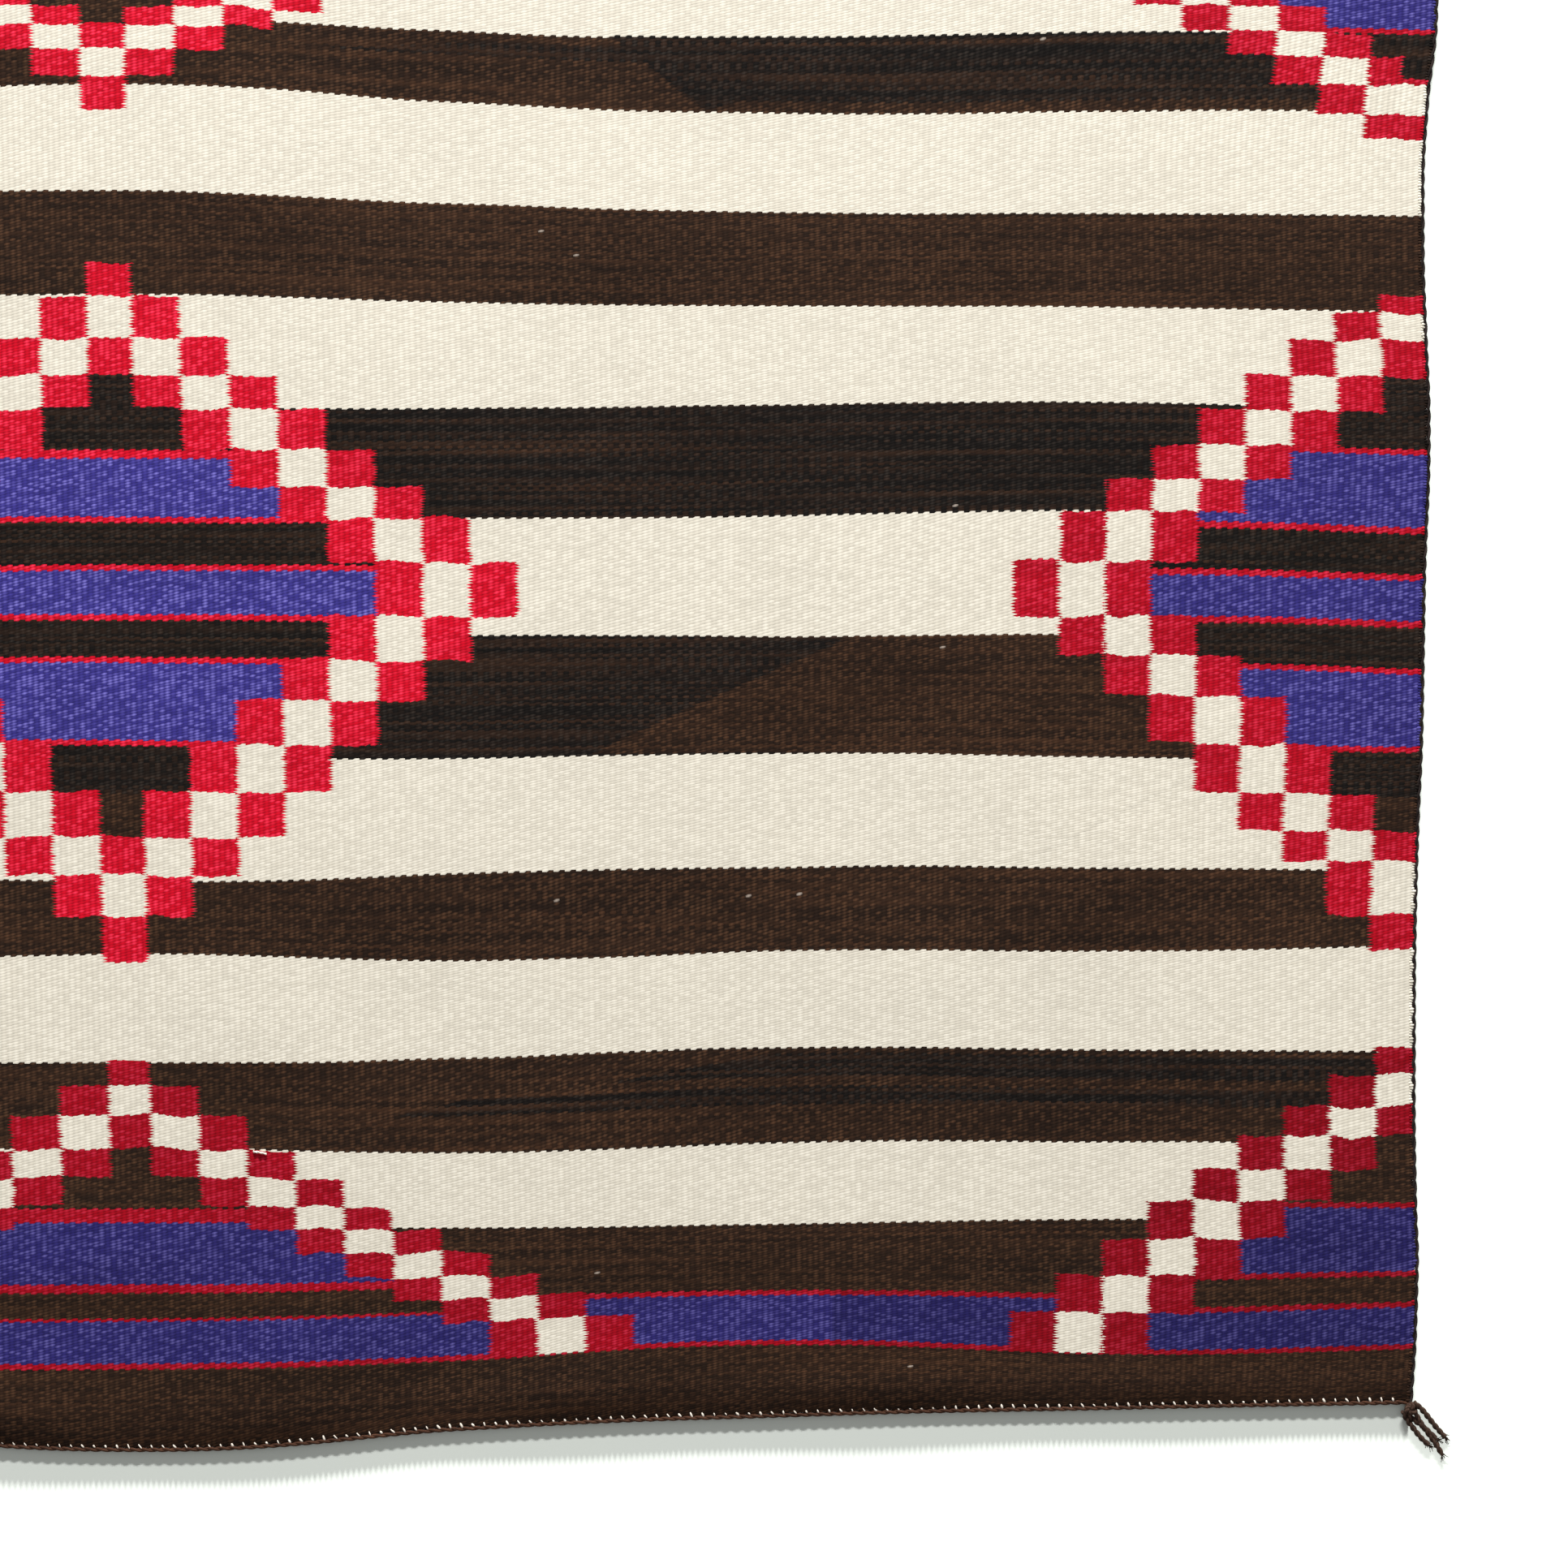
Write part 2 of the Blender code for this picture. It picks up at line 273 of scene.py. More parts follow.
class StageSettings(PropertyGroup):
    """Floor, light and camera"""

    floor: colour_setting("Floor", "Pale floor", 214, 219, 212)
    lens: FloatProperty(name="Lens", description="Focal length", default=85, min=10, unit="CAMERA")
    key_energy: FloatProperty(name="Key Light", description="Lights beyond the top end", default=1.0, min=0)
    fill_energy: FloatProperty(name="Fill Light", description="Light of the bright room", default=1.0, min=0)


def smooth_curve(places, values, at):
    """The smooth curve through values at rising places, held level past the ends."""
    places, values, at = (np.asarray(x, float) for x in (places, values, at))
    order = np.arange(len(places))
    before, after = np.maximum(order - 1, 0), np.minimum(order + 1, len(places) - 1)
    slopes = (values[after] - values[before]) / (places[after] - places[before])
    i = np.clip(np.searchsorted(places, at) - 1, 0, len(places) - 2)
    span = places[i + 1] - places[i]
    t = np.clip((at - places[i]) / span, 0, 1)
    start = values[i] + span * t * slopes[i]
    end = values[i + 1] - span * (1 - t) * slopes[i + 1]
    return start + (end - start) * t * t * (3 - 2 * t)


def cloth_plan(across, along, inset_side=0.0, inset_end=0.0):
    """Plan places of the points at loom places across (n) and along (m), as an n by m by 2 array."""
    across, along = np.asarray(across, float), np.asarray(along, float)
    quarters = np.arange(-4, 5) * HALF_WIDTH / 4
    rising = WEFT_LINES[::-1]
    lines = np.array([smooth_curve(quarters, line[:0:-1] + line, across) for line in rising]) * MM
    levels = np.array([line.middle for line in rising]) * MM
    k = np.clip(np.searchsorted(levels, along, side="right") - 1, 0, len(levels) - 2)
    share = (along - levels[k]) / (levels[k + 1] - levels[k])
    y = (lines[k] + (lines[k + 1] - lines[k]) * share[:, None]).T
    y = y - inset_end * ((along >= TOP).astype(float) - (along <= BOTTOM).astype(float))[None, :]

    middle = MIDDLE_LEAN * (MIDDLE_CROSSES - along)
    edges = []
    for edge in (LEFT_EDGE, RIGHT_EDGE):
        rising = sorted(edge)
        heights = [p.height * MM for p in rising]
        edges.append(HALF_WIDTH - inset_side + smooth_curve(heights, [p.out * MM for p in rising], along))
    reach = np.where(across[:, None] < 0, -edges[0][None, :], edges[1][None, :])
    x = middle[None, :] + (reach - middle[None, :]) * np.abs(across)[:, None] / HALF_WIDTH
    return np.stack([x, y], axis=-1)


def find_shift():
    """From the loom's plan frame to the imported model's, whose origin lies under the middle of the whole."""
    plan = cloth_plan(np.linspace(-HALF_WIDTH, HALF_WIDTH, 61), np.linspace(BOTTOM, TOP, 41))
    low, high = (np.array(corner)[:2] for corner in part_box("woven_cloth"))
    return (low + high) / 2 - (plan.min(axis=(0, 1)) + plan.max(axis=(0, 1))) / 2


SHIFT = find_shift()


def swell_height(plan):
    """The cloth's upper face over the floor at plan places before the shift."""
    x, y = plan[..., 0], plan[..., 1]
    across = np.sin(math.tau * x / SWELL_ACROSS + SWELL_START)
    along = np.sin(math.tau * (y + SWELL_SLANT * x) / SWELL_ALONG)
    return CLOTH_THICKNESS + SWELL * across * along


def cloth_edge(side=0, end=0, samples=240):
    """Plan places along one edge of the cloth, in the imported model's frame."""
    if side:
        plan = cloth_plan([side * HALF_WIDTH], np.linspace(BOTTOM, TOP, samples))[0]
    else:
        plan = cloth_plan(np.linspace(-HALF_WIDTH, HALF_WIDTH, samples), [TOP if end > 0 else BOTTOM])[:, 0]
    return plan + SHIFT


class Value:
    """A number that a node puts out, so that a formula in a node tree is written as a formula."""

    def __init__(self, tree, socket):
        self.tree, self.socket = tree, socket

    def math(self, operation, *others):
        node = self.tree.nodes.new("ShaderNodeMath")
        node.operation = operation
        for entry, term in zip(node.inputs, (self, *others)):
            feed(self.tree, entry, term)
        return Value(self.tree, node.outputs[0])

    def __add__(self, other):
        return self.math("ADD", other)

    def __sub__(self, other):
        return self.math("SUBTRACT", other)

    def __rsub__(self, other):
        return self.math("MULTIPLY_ADD", -1.0, other)

    def __mul__(self, other):
        return self.math("MULTIPLY", other)

    def __truediv__(self, other):
        return self.math("DIVIDE", other)

    def __abs__(self):
        return self.math("ABSOLUTE")

    __radd__, __rmul__ = __add__, __mul__

    def floor(self):
        return self.math("FLOOR")

    def wave(self):
        """The cosine of this many whole turns."""
        return (self * math.tau).math("COSINE")

    def is_near(self, number, reach=0.5):
        return self.math("COMPARE", number, reach)

    def above(self, number):
        return self.math("GREATER_THAN", number)

    def below(self, number):
        return self.math("LESS_THAN", number)

    def clamped(self, low=0.0, high=1.0):
        return self.math("MAXIMUM", low).math("MINIMUM", high)

    def towards(self, other, share):
        """This number, moved to another one by a share."""
        return self + (other - self) * share


def feed(tree, entry, term):
    """Gives a node's input a number, a colour, a Value or another node's output."""
    if isinstance(term, Value):
        tree.links.new(term.socket, entry)
    elif isinstance(term, bpy.types.NodeSocket):
        tree.links.new(term, entry)
    else:
        entry.default_value = term


def add_node(tree, kind, inputs=None, **settings):
    node = tree.nodes.new(kind)
    for name, setting in settings.items():
        setattr(node, name, setting)
    for name, term in (inputs or {}).items():
        feed(tree, node.inputs[name], term)
    return node


def new_tree(kind, name, inputs, outputs):
    """A node group with named inputs, given as {name: default}, and outputs, given as {name: socket type}."""
    kinds = {float: "NodeSocketFloat", int: "NodeSocketInt", tuple: "NodeSocketColor"}
    tree = bpy.data.node_groups.new(name, kind)
    for label, default in inputs.items():
        socket_type = default if isinstance(default, str) else kinds[type(default)]
        socket = tree.interface.new_socket(label, in_out="INPUT", socket_type=socket_type)
        if not isinstance(default, str):
            socket.default_value = (*default, 1.0) if isinstance(default, tuple) else default
    for label, socket_type in outputs.items():
        tree.interface.new_socket(label, in_out="OUTPUT", socket_type=socket_type)
    entry, leave = tree.nodes.new("NodeGroupInput"), tree.nodes.new("NodeGroupOutput")
    given = {}
    for label, default in inputs.items():
        socket = entry.outputs[label]
        given[label] = socket if isinstance(default, (str, tuple)) else Value(tree, socket)
    return tree, given, leave


def shader_group(name, inputs, *outputs):
    return new_tree("ShaderNodeTree", name, inputs, {label: "NodeSocketFloat" for label in outputs})


def use_group(tree, group, **inputs):
    """Places a shader group in a tree; its outputs come back as Values by name."""
    node = add_node(tree, "ShaderNodeGroup", node_tree=group)
    node.label = group.name
    for name, term in inputs.items():
        feed(tree, node.inputs[name.replace("_", " ").title()], term)
    return {socket.name: Value(tree, socket) for socket in node.outputs}


def pair(tree, x, y):
    """A vector of two numbers."""
    return add_node(tree, "ShaderNodeCombineXYZ", {"X": x, "Y": y}).outputs[0]


def split(tree, vector):
    node = add_node(tree, "ShaderNodeSeparateXYZ", {"Vector": vector})
    return [Value(tree, socket) for socket in node.outputs]


def noise(tree, vector, scale, detail=2.0):
    """Soft noise from 0 to 1."""
    node = add_node(tree, "ShaderNodeTexNoise", {"Vector": vector, "Scale": scale, "Detail": detail})
    return Value(tree, node.outputs[0])


def dice(tree, x, y):
    """One random number from 0 to 1 for each pair of whole numbers."""
    node = add_node(tree, "ShaderNodeTexWhiteNoise", {"Vector": pair(tree, x, y)}, noise_dimensions="2D")
    return Value(tree, node.outputs["Value"])


def mix_colours(tree, share, first, second):
    node = add_node(tree, "ShaderNodeMix", data_type="RGBA")
    for entry, term in zip((node.inputs[0], node.inputs[6], node.inputs[7]), (share, first, second)):
        feed(tree, entry, (*term, 1.0) if isinstance(term, tuple) else term)
    return node.outputs[2]


def brighten(tree, colour, share):
    """A colour times a number."""
    node = add_node(tree, "ShaderNodeVectorMath", {"Vector": colour, "Scale": share}, operation="SCALE")
    return node.outputs[0]


# The renderer keeps a colour ramp as a table of 256 entries, so a ramp serves as a table of that many rows.
# The number of a row stands in the ramp's alpha.
TABLE_STEPS = 255
TABLE_STARTS = (-384, -128, 128)  # the first row of beads in each of the tables that cover the blanket
RAMP_TOP = 32  # the largest number that a ramp's alpha stands for


def ramp(tree, place, stops, interpolation):
    """Reads numbers, given as (place from 0 to 1, number) stops, off a colour ramp."""
    node = add_node(tree, "ShaderNodeValToRGB", {"Fac": place})
    elements = node.color_ramp.elements
    node.color_ramp.interpolation = interpolation
    elements.remove(elements[-1])
    for position, number in stops:
        element = elements[0] if position == stops[0][0] else elements.new(position)
        element.position = position
        element.color = (number / RAMP_TOP,) * 4
    return Value(tree, node.outputs["Alpha"]) * RAMP_TOP


def yarn_table(tree, row, bands, first_row, weft):
    """The yarn of a row of beads within the 256 rows from first_row up."""
    stops = []
    for band, upper in zip(bands, (*bands[1:], Band(10000, WHITE))):
        start, stop = (round(b.start * MM / (2 * weft)) - first_row for b in (band, upper))
        if stop > 0 and start <= TABLE_STEPS:
            stops.append((max(start - 0.5, 0) / TABLE_STEPS, band.yarn))
    if stops[0][0] > 0:
        stops.insert(0, (0.0, bands[0].yarn))
    return ramp(tree, (row - first_row + 0.5) / TABLE_STEPS, stops, "CONSTANT").math("ROUND")


def yarn_of_row(tree, row, bands, weft):
    """The yarn of a row of beads, from the table that holds it."""
    yarn = None
    for first_row in TABLE_STARTS:
        part = yarn_table(tree, row, bands, first_row, weft)
        yarn = part if yarn is None else yarn.towards(part, row.above(first_row - 0.5))
    return yarn


def plain_weave_group():
    """The weft-faced plain weave: each bead is one pick of weft where it crosses over one warp."""
    tree, given, leave = shader_group(
        "plain weave",
        {"Across": 0.0, "Along": 0.0, "Warp": 3.86 * MM, "Weft": 0.95 * MM, "Lean": 1.0, "Width": 3.2},
        "Warp Number", "Pick Number", "Beside", "Above",
    )
    columns = given["Across"] / given["Warp"] - 0.5
    picks = given["Along"] / given["Weft"]

    def bead(half_columns, half_picks, odd):
        column, pick = half_columns * 2 + odd, half_picks * 2 + odd
        beside = columns - column
        above = picks - pick - beside * given["Lean"]
        return column, pick, beside, above, beside * beside * given["Width"] + above * above

    even = bead((columns / 2).math("ROUND"), (picks / 2).math("ROUND"), 0)
    odd = bead((columns / 2).floor(), (picks / 2).floor(), 1)
    choose_odd = even[4].above(odd[4])
    for label, first, second in zip(("Warp Number", "Pick Number", "Beside", "Above"), even, odd):
        feed(tree, leave.inputs[label], first.towards(second, choose_odd))
    return tree


def stepped_diamond_group():
    """How many steps a point lies inside a stepped diamond: below 0 outside it, and 3 or more in its fill."""
    tree, given, leave = shader_group(
        "stepped diamond",
        {"Distance": 0.0, "Row": 0.0, "Widest Row": 9.0, "First": 0.013, "Cell": 0.032, "Steps": 8.0},
        "Depth",
    )
    column = (((given["Distance"] - given["First"]) / given["Cell"]).floor() + 1).math("MAXIMUM", 0.0)
    row = abs(given["Row"].floor() - given["Widest Row"])
    feed(tree, leave.inputs["Depth"], (given["Steps"] - column - row).clamped(-1.0, 3.0))
    return tree


def lazy_line_group():
    """A slanting join within a stripe: what lies on its right, and the thin line itself."""
    tree, given, leave = shader_group(
        "lazy line",
        {"Across": 0.0, "Along": 0.0, "Low": 0.0, "High": 0.05, "Foot": 0.0, "Drift": 1.0, "Reach": 0.002},
        "Right Side", "Line",
    )
    within = given["Along"].above(given["Low"]) * given["Along"].below(given["High"])
    beyond = given["Across"] - given["Foot"] - (given["Along"] - given["Low"]) * given["Drift"]
    feed(tree, leave.inputs["Right Side"], beyond.above(0.0) * within)
    feed(tree, leave.inputs["Line"], (1.0 - (abs(beyond) / given["Reach"]).clamped()) * within)
    return tree


def wool_fibres_group():
    """Fine fibres along a yarn: their light and dark, and their height."""
    tree, given, leave = shader_group(
        "wool fibres", {"Along Yarn": 0.0, "Across Yarn": 0.0, "Length": 2.5 * MM, "Thickness": 0.25 * MM},
        "Shade", "Height",
    )
    place = pair(tree, given["Along Yarn"] / given["Length"], given["Across Yarn"] / given["Thickness"])
    fine = noise(tree, place, 1.0, 3.0)
    feed(tree, leave.inputs["Shade"], (fine - 0.5) * 2)
    feed(tree, leave.inputs["Height"], fine)
    return tree


ROW_MARGIN = 30  # millimetres beyond a diamond's outermost rows that its table of rows still covers


def row_place(tree, along, edges):
    """How many of the rising edges (mm) a height has passed, changing smoothly between them."""
    low, high = edges[0] - ROW_MARGIN, edges[-1] + ROW_MARGIN
    stops = [(0.0, 0)]
    stops += [((edge - low) / (high - low), n + 1) for n, edge in enumerate(edges)]
    stops.append((1.0, len(edges) + 1))
    return ramp(tree, (along - low * MM) / ((high - low) * MM), stops, "LINEAR")


# How far the rows' edges stray, and how much they follow the beads
ROW_STRAY = 8 * MM
FOLLOW_BEADS = 0.6


def blanket_chart_group(weft):
    """Which yarn the weaver turned in at a place on the loom."""
    tree, given, leave = shader_group(
        "blanket chart", {"Across": 0.0, "Along": 0.0, "Join": 0.0, "Pick": 0.0}, "Yarn", "Lazy Line"
    )
    across, along, join = given["Across"], given["Along"], given["Join"]
    bead_row = (given["Pick"] / 2).floor()
    bead_along = given["Pick"] * weft

    stripes = yarn_of_row(tree, bead_row, STRIPES, weft)
    lazy, lines = lazy_line_group(), None
    for line in LAZY_LINES:
        made = use_group(
            tree, lazy, across=across + join, along=bead_along, low=line.low * MM, high=line.high * MM,
            foot=line.foot * MM, drift=line.drift,
        )
        lines = made["Line"] if lines is None else lines + made["Line"]
        if line.turns_to is not None:
            stripes = stripes.towards(line.turns_to, made["Right Side"])

    diamond, depth = stepped_diamond_group(), None
    from_middle = abs(across) + join
    from_side = HALF_WIDTH - abs(across) + join
    ragged = noise(tree, pair(tree, across * 35.0, along * 14.0), 1.0, 1.0) - 0.5
    smooth_along = along.towards(bead_along, FOLLOW_BEADS) + ragged * ROW_STRAY
    for d in DIAMONDS.values():
        made = use_group(
            tree, diamond, distance=from_side if d.at_side else from_middle,
            row=row_place(tree, smooth_along, d.edges), widest_row=float(d.widest),
            first=d.first * MM, cell=d.cell * MM, steps=float(d.steps),
        )["Depth"]
        depth = made if depth is None else depth.math("MAXIMUM", made)
    in_border = bead_along.below(BORDER_BELOW) + bead_along.above(BORDER_ABOVE)
    depth = depth.towards(-1.0, in_border)
    at_stem = from_side.below(STEM_WIDTH) * smooth_along.above(STEM_LOW) * smooth_along.below(STEM_HIGH)
    depth = depth.towards(3.0, at_stem)

    fill = yarn_of_row(tree, bead_row, MIDDLE_FILL, weft)
    fill = fill.towards(yarn_of_row(tree, bead_row, SIDE_FILL, weft), abs(across).above(HALF_WIDTH / 2))
    outline = depth.is_near(0.0) + depth.is_near(2.0)
    yarn = stripes * depth.below(-0.5) + fill * depth.above(2.5) + outline * RED
    feed(tree, leave.inputs["Yarn"], yarn.math("ROUND"))
    feed(tree, leave.inputs["Lazy Line"], lines * depth.below(-0.5))
    return tree


def new_material(name, **uniform):
    """A material with its Principled BSDF, whose uniform numbers are set on its own sockets."""
    material = bpy.data.materials.new(name)
    material.use_nodes = True
    shader = material.node_tree.nodes["Principled BSDF"]
    for label, number in uniform.items():
        shader.inputs[label.replace("_", " ")].default_value = number
    return material, material.node_tree, shader


def yarn_colours(tree, yarn, names, settings):
    """A colour for each yarn, read off a ramp by the yarn's number."""
    node = add_node(tree, "ShaderNodeValToRGB", {"Fac": (yarn + 0.5) / len(names)})
    node.color_ramp.interpolation = "CONSTANT"
    elements = node.color_ramp.elements
    elements.remove(elements[-1])
    for number, name in enumerate(names):
        element = elements[0] if number == 0 else elements.new(number / len(names))
        element.color = (*getattr(settings, name), 1.0)
    return node.outputs["Color"]


# The wool of the web. A share that differs from yarn to yarn is given for white yarn, and then what dyed (red
# or blue) and dark (black or brown) yarn add to it.
Shares = namedtuple("Shares", "white dyed dark")
# The first three paint light and shade onto the wool: how far the painted shading follows the ribs, how dark
# the painted shade in the grooves is, and how much painted highlight the beads' middles take
LIT_RIB = Shares(0.16, 0.12, 0.1)
GROOVE_SHADE = Shares(0.74, -0.30, -0.26)
SPARKLE = Shares(0.45, 0.2, 0.2)
UNEVEN_DYE = Shares(0.1, 0.5, 0.85)
BEAD_VARIETY = Shares(0.12, 0.16, 0.0)

PICK_WANDER = 6 * MM
TOOTH_LENGTH, TOOTH_VARIETY = 3.6 * MM, 2.6 * MM
STREAK_COLOUR, STREAK_SHARE = from_bytes(78, 50, 32), 0.55
SLUB_COLOUR, SLUB_SHARE = from_bytes(196, 182, 168), 0.7
SLUB_ABOVE = 0.9998  # a dark bead whose random number is above this is a slub
STREAK_TONE, CLOUD_TONE, FIBRE_TONE = 1.1, 0.8, 0.08
DEEPER_BELOW, DEEPER_BLEND, DEEPER_END = -290 * MM, 35 * MM, 0.42
DEEPER_BEYOND, DEEPER_SIDES = 480 * MM, 0.26
LAZY_LINE_TONE = 0.12


def cloth_wool_material(settings):
    """The woven web: beads of weft in the chart's yarns, streaked along the picks, over ribs of warp."""
    material, tree, shader = new_material("cloth_wool_woven", Specular_IOR_Level=0.12)
    warp, weft = 2 * HALF_WIDTH / settings.warps, settings.weft
    place = add_node(tree, "ShaderNodeAttribute", attribute_name="weave").outputs["Vector"]
    across, along, _ = split(tree, place)

    # The picks wander a little, as beaten-in wefts do
    wander = noise(tree, pair(tree, across * 3.0, along * 11.0), 1.0) - 0.5
    beaten = along + wander * PICK_WANDER
    weave = use_group(tree, plain_weave_group(), across=across, along=beaten, warp=warp, weft=weft)
    beside, above = weave["Beside"], weave["Above"]
    warp_number, pick_number = weave["Warp Number"], weave["Pick Number"]

    # Where two yarns meet side by side they turn back on each other in teeth, two picks tall
    double_pick = beaten / (2 * weft)
    tooth_number = double_pick.floor()
    tooth = 1.0 - abs((double_pick - tooth_number) * 2 - 1)
    uneven = dice(tree, tooth_number, (across * 12).floor())
    join = (tooth - 0.5) * TOOTH_LENGTH + (uneven - 0.5) * TOOTH_VARIETY

    chart = use_group(
        tree, blanket_chart_group(weft), across=across, along=along, join=join, pick=pick_number
    )
    yarn = chart["Yarn"]
    body = yarn_colours(tree, yarn, YARNS, settings)
    # Each yarn's crest colour is a painted highlight
    crest = yarn_colours(tree, yarn, [f"{name}_crest" for name in YARNS], settings)

    fibres = use_group(tree, wool_fibres_group(), along_yarn=across, across_yarn=beaten)
    bead_dice = dice(tree, warp_number, pick_number)
    streak = noise(tree, pair(tree, across * 2.4, pick_number * 0.43), 1.0, 3.0)
    cloud = noise(tree, pair(tree, across * 7.0, along * 16.0), 1.0, 3.0)

    rib = beside.wave() * 0.5 + 0.5
    bead = (1.0 - (beside * beside * 1.2 + above * above * 0.95)).clamped()
    dark = yarn.above(BLUE + 0.5)
    dyed = yarn.above(WHITE + 0.5) * (1.0 - dark)

    def of_yarn(shares):
        return shares.white + dyed * shares.dyed + dark * shares.dark

    lit = bead.towards(rib, of_yarn(LIT_RIB))

    # Painted shade: the grooves between the beads keep their yarn's colour, only darker, and each bead
    # lightens towards its middle
    groove_shade = brighten(tree, body, of_yarn(GROOVE_SHADE))
    colour = mix_colours(tree, lit.math("POWER", 0.6), groove_shade, body)
    # Painted highlights: the beads' lit middles take the crest colour, some beads more than others
    sparkle = (bead_dice * 1.6 - 0.45 + fibres["Shade"] * 0.5).clamped() * lit * lit
    colour = mix_colours(tree, sparkle * of_yarn(SPARKLE), colour, crest)

    # Orange-brown streaks run through the dark wool, and a white slub stands out here and there
    warm = (streak * 3.4 - 1.55).clamped() * dark
    colour = mix_colours(tree, warm * STREAK_SHARE, colour, STREAK_COLOUR)
    slub = bead_dice.above(SLUB_ABOVE) * lit * dark
    colour = mix_colours(tree, slub * SLUB_SHARE, colour, SLUB_COLOUR)

    # The dyes vary along the picks. The sides' and the lower end's motifs are woven from deeper batches.
    at_low_end = ((DEEPER_BELOW - along) / DEEPER_BLEND).clamped() * dyed
    at_sides = abs(across).above(DEEPER_BEYOND) * dyed
    deeper = (1.0 - at_low_end * DEEPER_END) * (1.0 - at_sides * DEEPER_SIDES)
    tone = 1.0 + ((streak - 0.5) * STREAK_TONE + (cloud - 0.5) * CLOUD_TONE) * of_yarn(UNEVEN_DYE)
    tone = tone + (bead_dice - 0.5) * of_yarn(BEAD_VARIETY) + fibres["Shade"] * FIBRE_TONE
    tone = (tone - (streak * streak - 0.2).clamped() * 0.2) * deeper
    colour = brighten(tree, colour, tone * (1.0 - chart["Lazy Line"] * LAZY_LINE_TONE))
    feed(tree, shader.inputs["Base Color"], colour)
    feed(tree, shader.inputs["Roughness"], 0.92 - lit * 0.12)

    height = bead * settings.bead_relief + rib * settings.rib_relief * 0.25 + fibres["Height"] * 0.03 * MM
    bump = add_node(tree, "ShaderNodeBump", {"Strength": 1.0, "Distance": 1.0, "Height": height})
    feed(tree, shader.inputs["Normal"], bump.outputs[0])
    return material


# Fibres of spun yarn, and the way round one ply
FIBRE_LENGTH, FIBRE_THICKNESS, PLY_GIRTH = 3.0 * MM, 0.35 * MM, 3 * MM


def spun_wool_material(name, colour, tip):
    """Spun yarn of the cords, loops and tassels, with fibres that follow each ply."""
    material, tree, shader = new_material(name, Specular_IOR_Level=0.12)
    along = Value(tree, add_node(tree, "ShaderNodeAttribute", attribute_name="along").outputs["Fac"])
    around = Value(tree, add_node(tree, "ShaderNodeAttribute", attribute_name="around").outputs["Fac"])
    fibres = use_group(
        tree, wool_fibres_group(), along_yarn=along, across_yarn=around * PLY_GIRTH + along * 0.6,
        length=FIBRE_LENGTH, thickness=FIBRE_THICKNESS,
    )
    object_place = add_node(tree, "ShaderNodeTexCoord").outputs["Object"]
    cloud = noise(tree, object_place, 60.0, 2.0)
    share = (fibres["Shade"] * 0.8 + cloud * 0.5).clamped()
    colours = mix_colours(tree, share, tuple(colour), tip)
    feed(tree, shader.inputs["Base Color"], brighten(tree, colours, cloud * 0.5 + 0.75))
    feed(tree, shader.inputs["Roughness"], 0.9 - share * 0.15)
    bump = add_node(
        tree, "ShaderNodeBump", {"Strength": 0.7, "Distance": 1.0, "Height": fibres["Height"] * 0.15 * MM}
    )
    feed(tree, shader.inputs["Normal"], bump.outputs[0])
    return material


# How finely the web is divided: columns for each warp's rib, the height of a row, and how many warps
# a cell of the underside spans
COLUMNS_PER_WARP = 4
ROW_HEIGHT = 25 * MM
WARPS_PER_UNDERSIDE_CELL = 8

# How the ribs' height varies from warp to warp and along one warp, as shares of the relief
WARP_VARIETY, ROW_VARIETY = 0.5, 0.2
RIB_SEED = 11

# The web's rounded rim from the upper face down: inset from the outermost line, height and distance run
RimRing = namedtuple("RimRing", "inset height run")
RIM_TOP_INSET = 1.0 * MM
RIM_RINGS = (RimRing(0.25 * MM, 2.45 * MM, 1.0 * MM), RimRing(0, 1.5 * MM, 2.0 * MM))
UNDERSIDE = RimRing(0.6 * MM, 0, 3.6 * MM)

# Where the web's two sides lie on its bake map: (left, bottom, width, height), and how much they fill of that
TOP_ISLAND = (0.01, 0.36, 0.98, 0.62)
UNDERSIDE_ISLAND = (0.01, 0.02, 0.98, 0.31)
FILL_X, FILL_Y = 0.99, 0.98


def row_stations():
    """Loom heights of the web's rows, a few between each two weft lines."""
    levels = [line.middle * MM for line in reversed(WEFT_LINES)]
    rows = [levels[0]]
    for low, high in zip(levels, levels[1:]):
        cells = max(1, round((high - low) / ROW_HEIGHT))
        rows += [low + (high - low) * (k + 1) / cells for k in range(cells)]
    return np.array(rows)


def rim_walk(columns, rows):
    """Column and row numbers once round the web, anticlockwise from its bottom left corner."""
    walk = [(i, 0) for i in range(columns)]
    walk += [(columns, j) for j in range(rows)]
    walk += [(i, rows) for i in range(columns, 0, -1)]
    walk += [(0, j) for j in range(rows, 0, -1)]
    return np.array(walk)


def ribbed_top(across, along, settings):
    """Points of the upper face, ribbed over the warps and swelling gently."""
    plan = cloth_plan(across, along, RIM_TOP_INSET, RIM_TOP_INSET)
    draw = np.random.default_rng(RIB_SEED)
    column = np.arange(len(across))
    rib = -np.cos(math.tau * column / COLUMNS_PER_WARP) / 2
    by_warp = 1 - WARP_VARIETY / 2 + WARP_VARIETY * draw.random(settings.warps + 1)
    by_place = 1 - ROW_VARIETY / 2 + ROW_VARIETY * draw.random((len(across), len(along)))
    strength = by_warp[column // COLUMNS_PER_WARP][:, None] * by_place
    height = swell_height(plan) + settings.rib_relief * rib[:, None] * strength
    return np.concatenate([plan + SHIFT, height[..., None]], axis=-1)


def grid_faces(number, turn=1):
    """The four-sided faces of a grid of point numbers, facing up, or down with turn=-1."""
    first, *others = number[:-1, :-1], number[1:, :-1], number[1:, 1:], number[:-1, 1:]
    return np.stack([first, *others[::turn]], axis=-1).reshape(-1, 4)


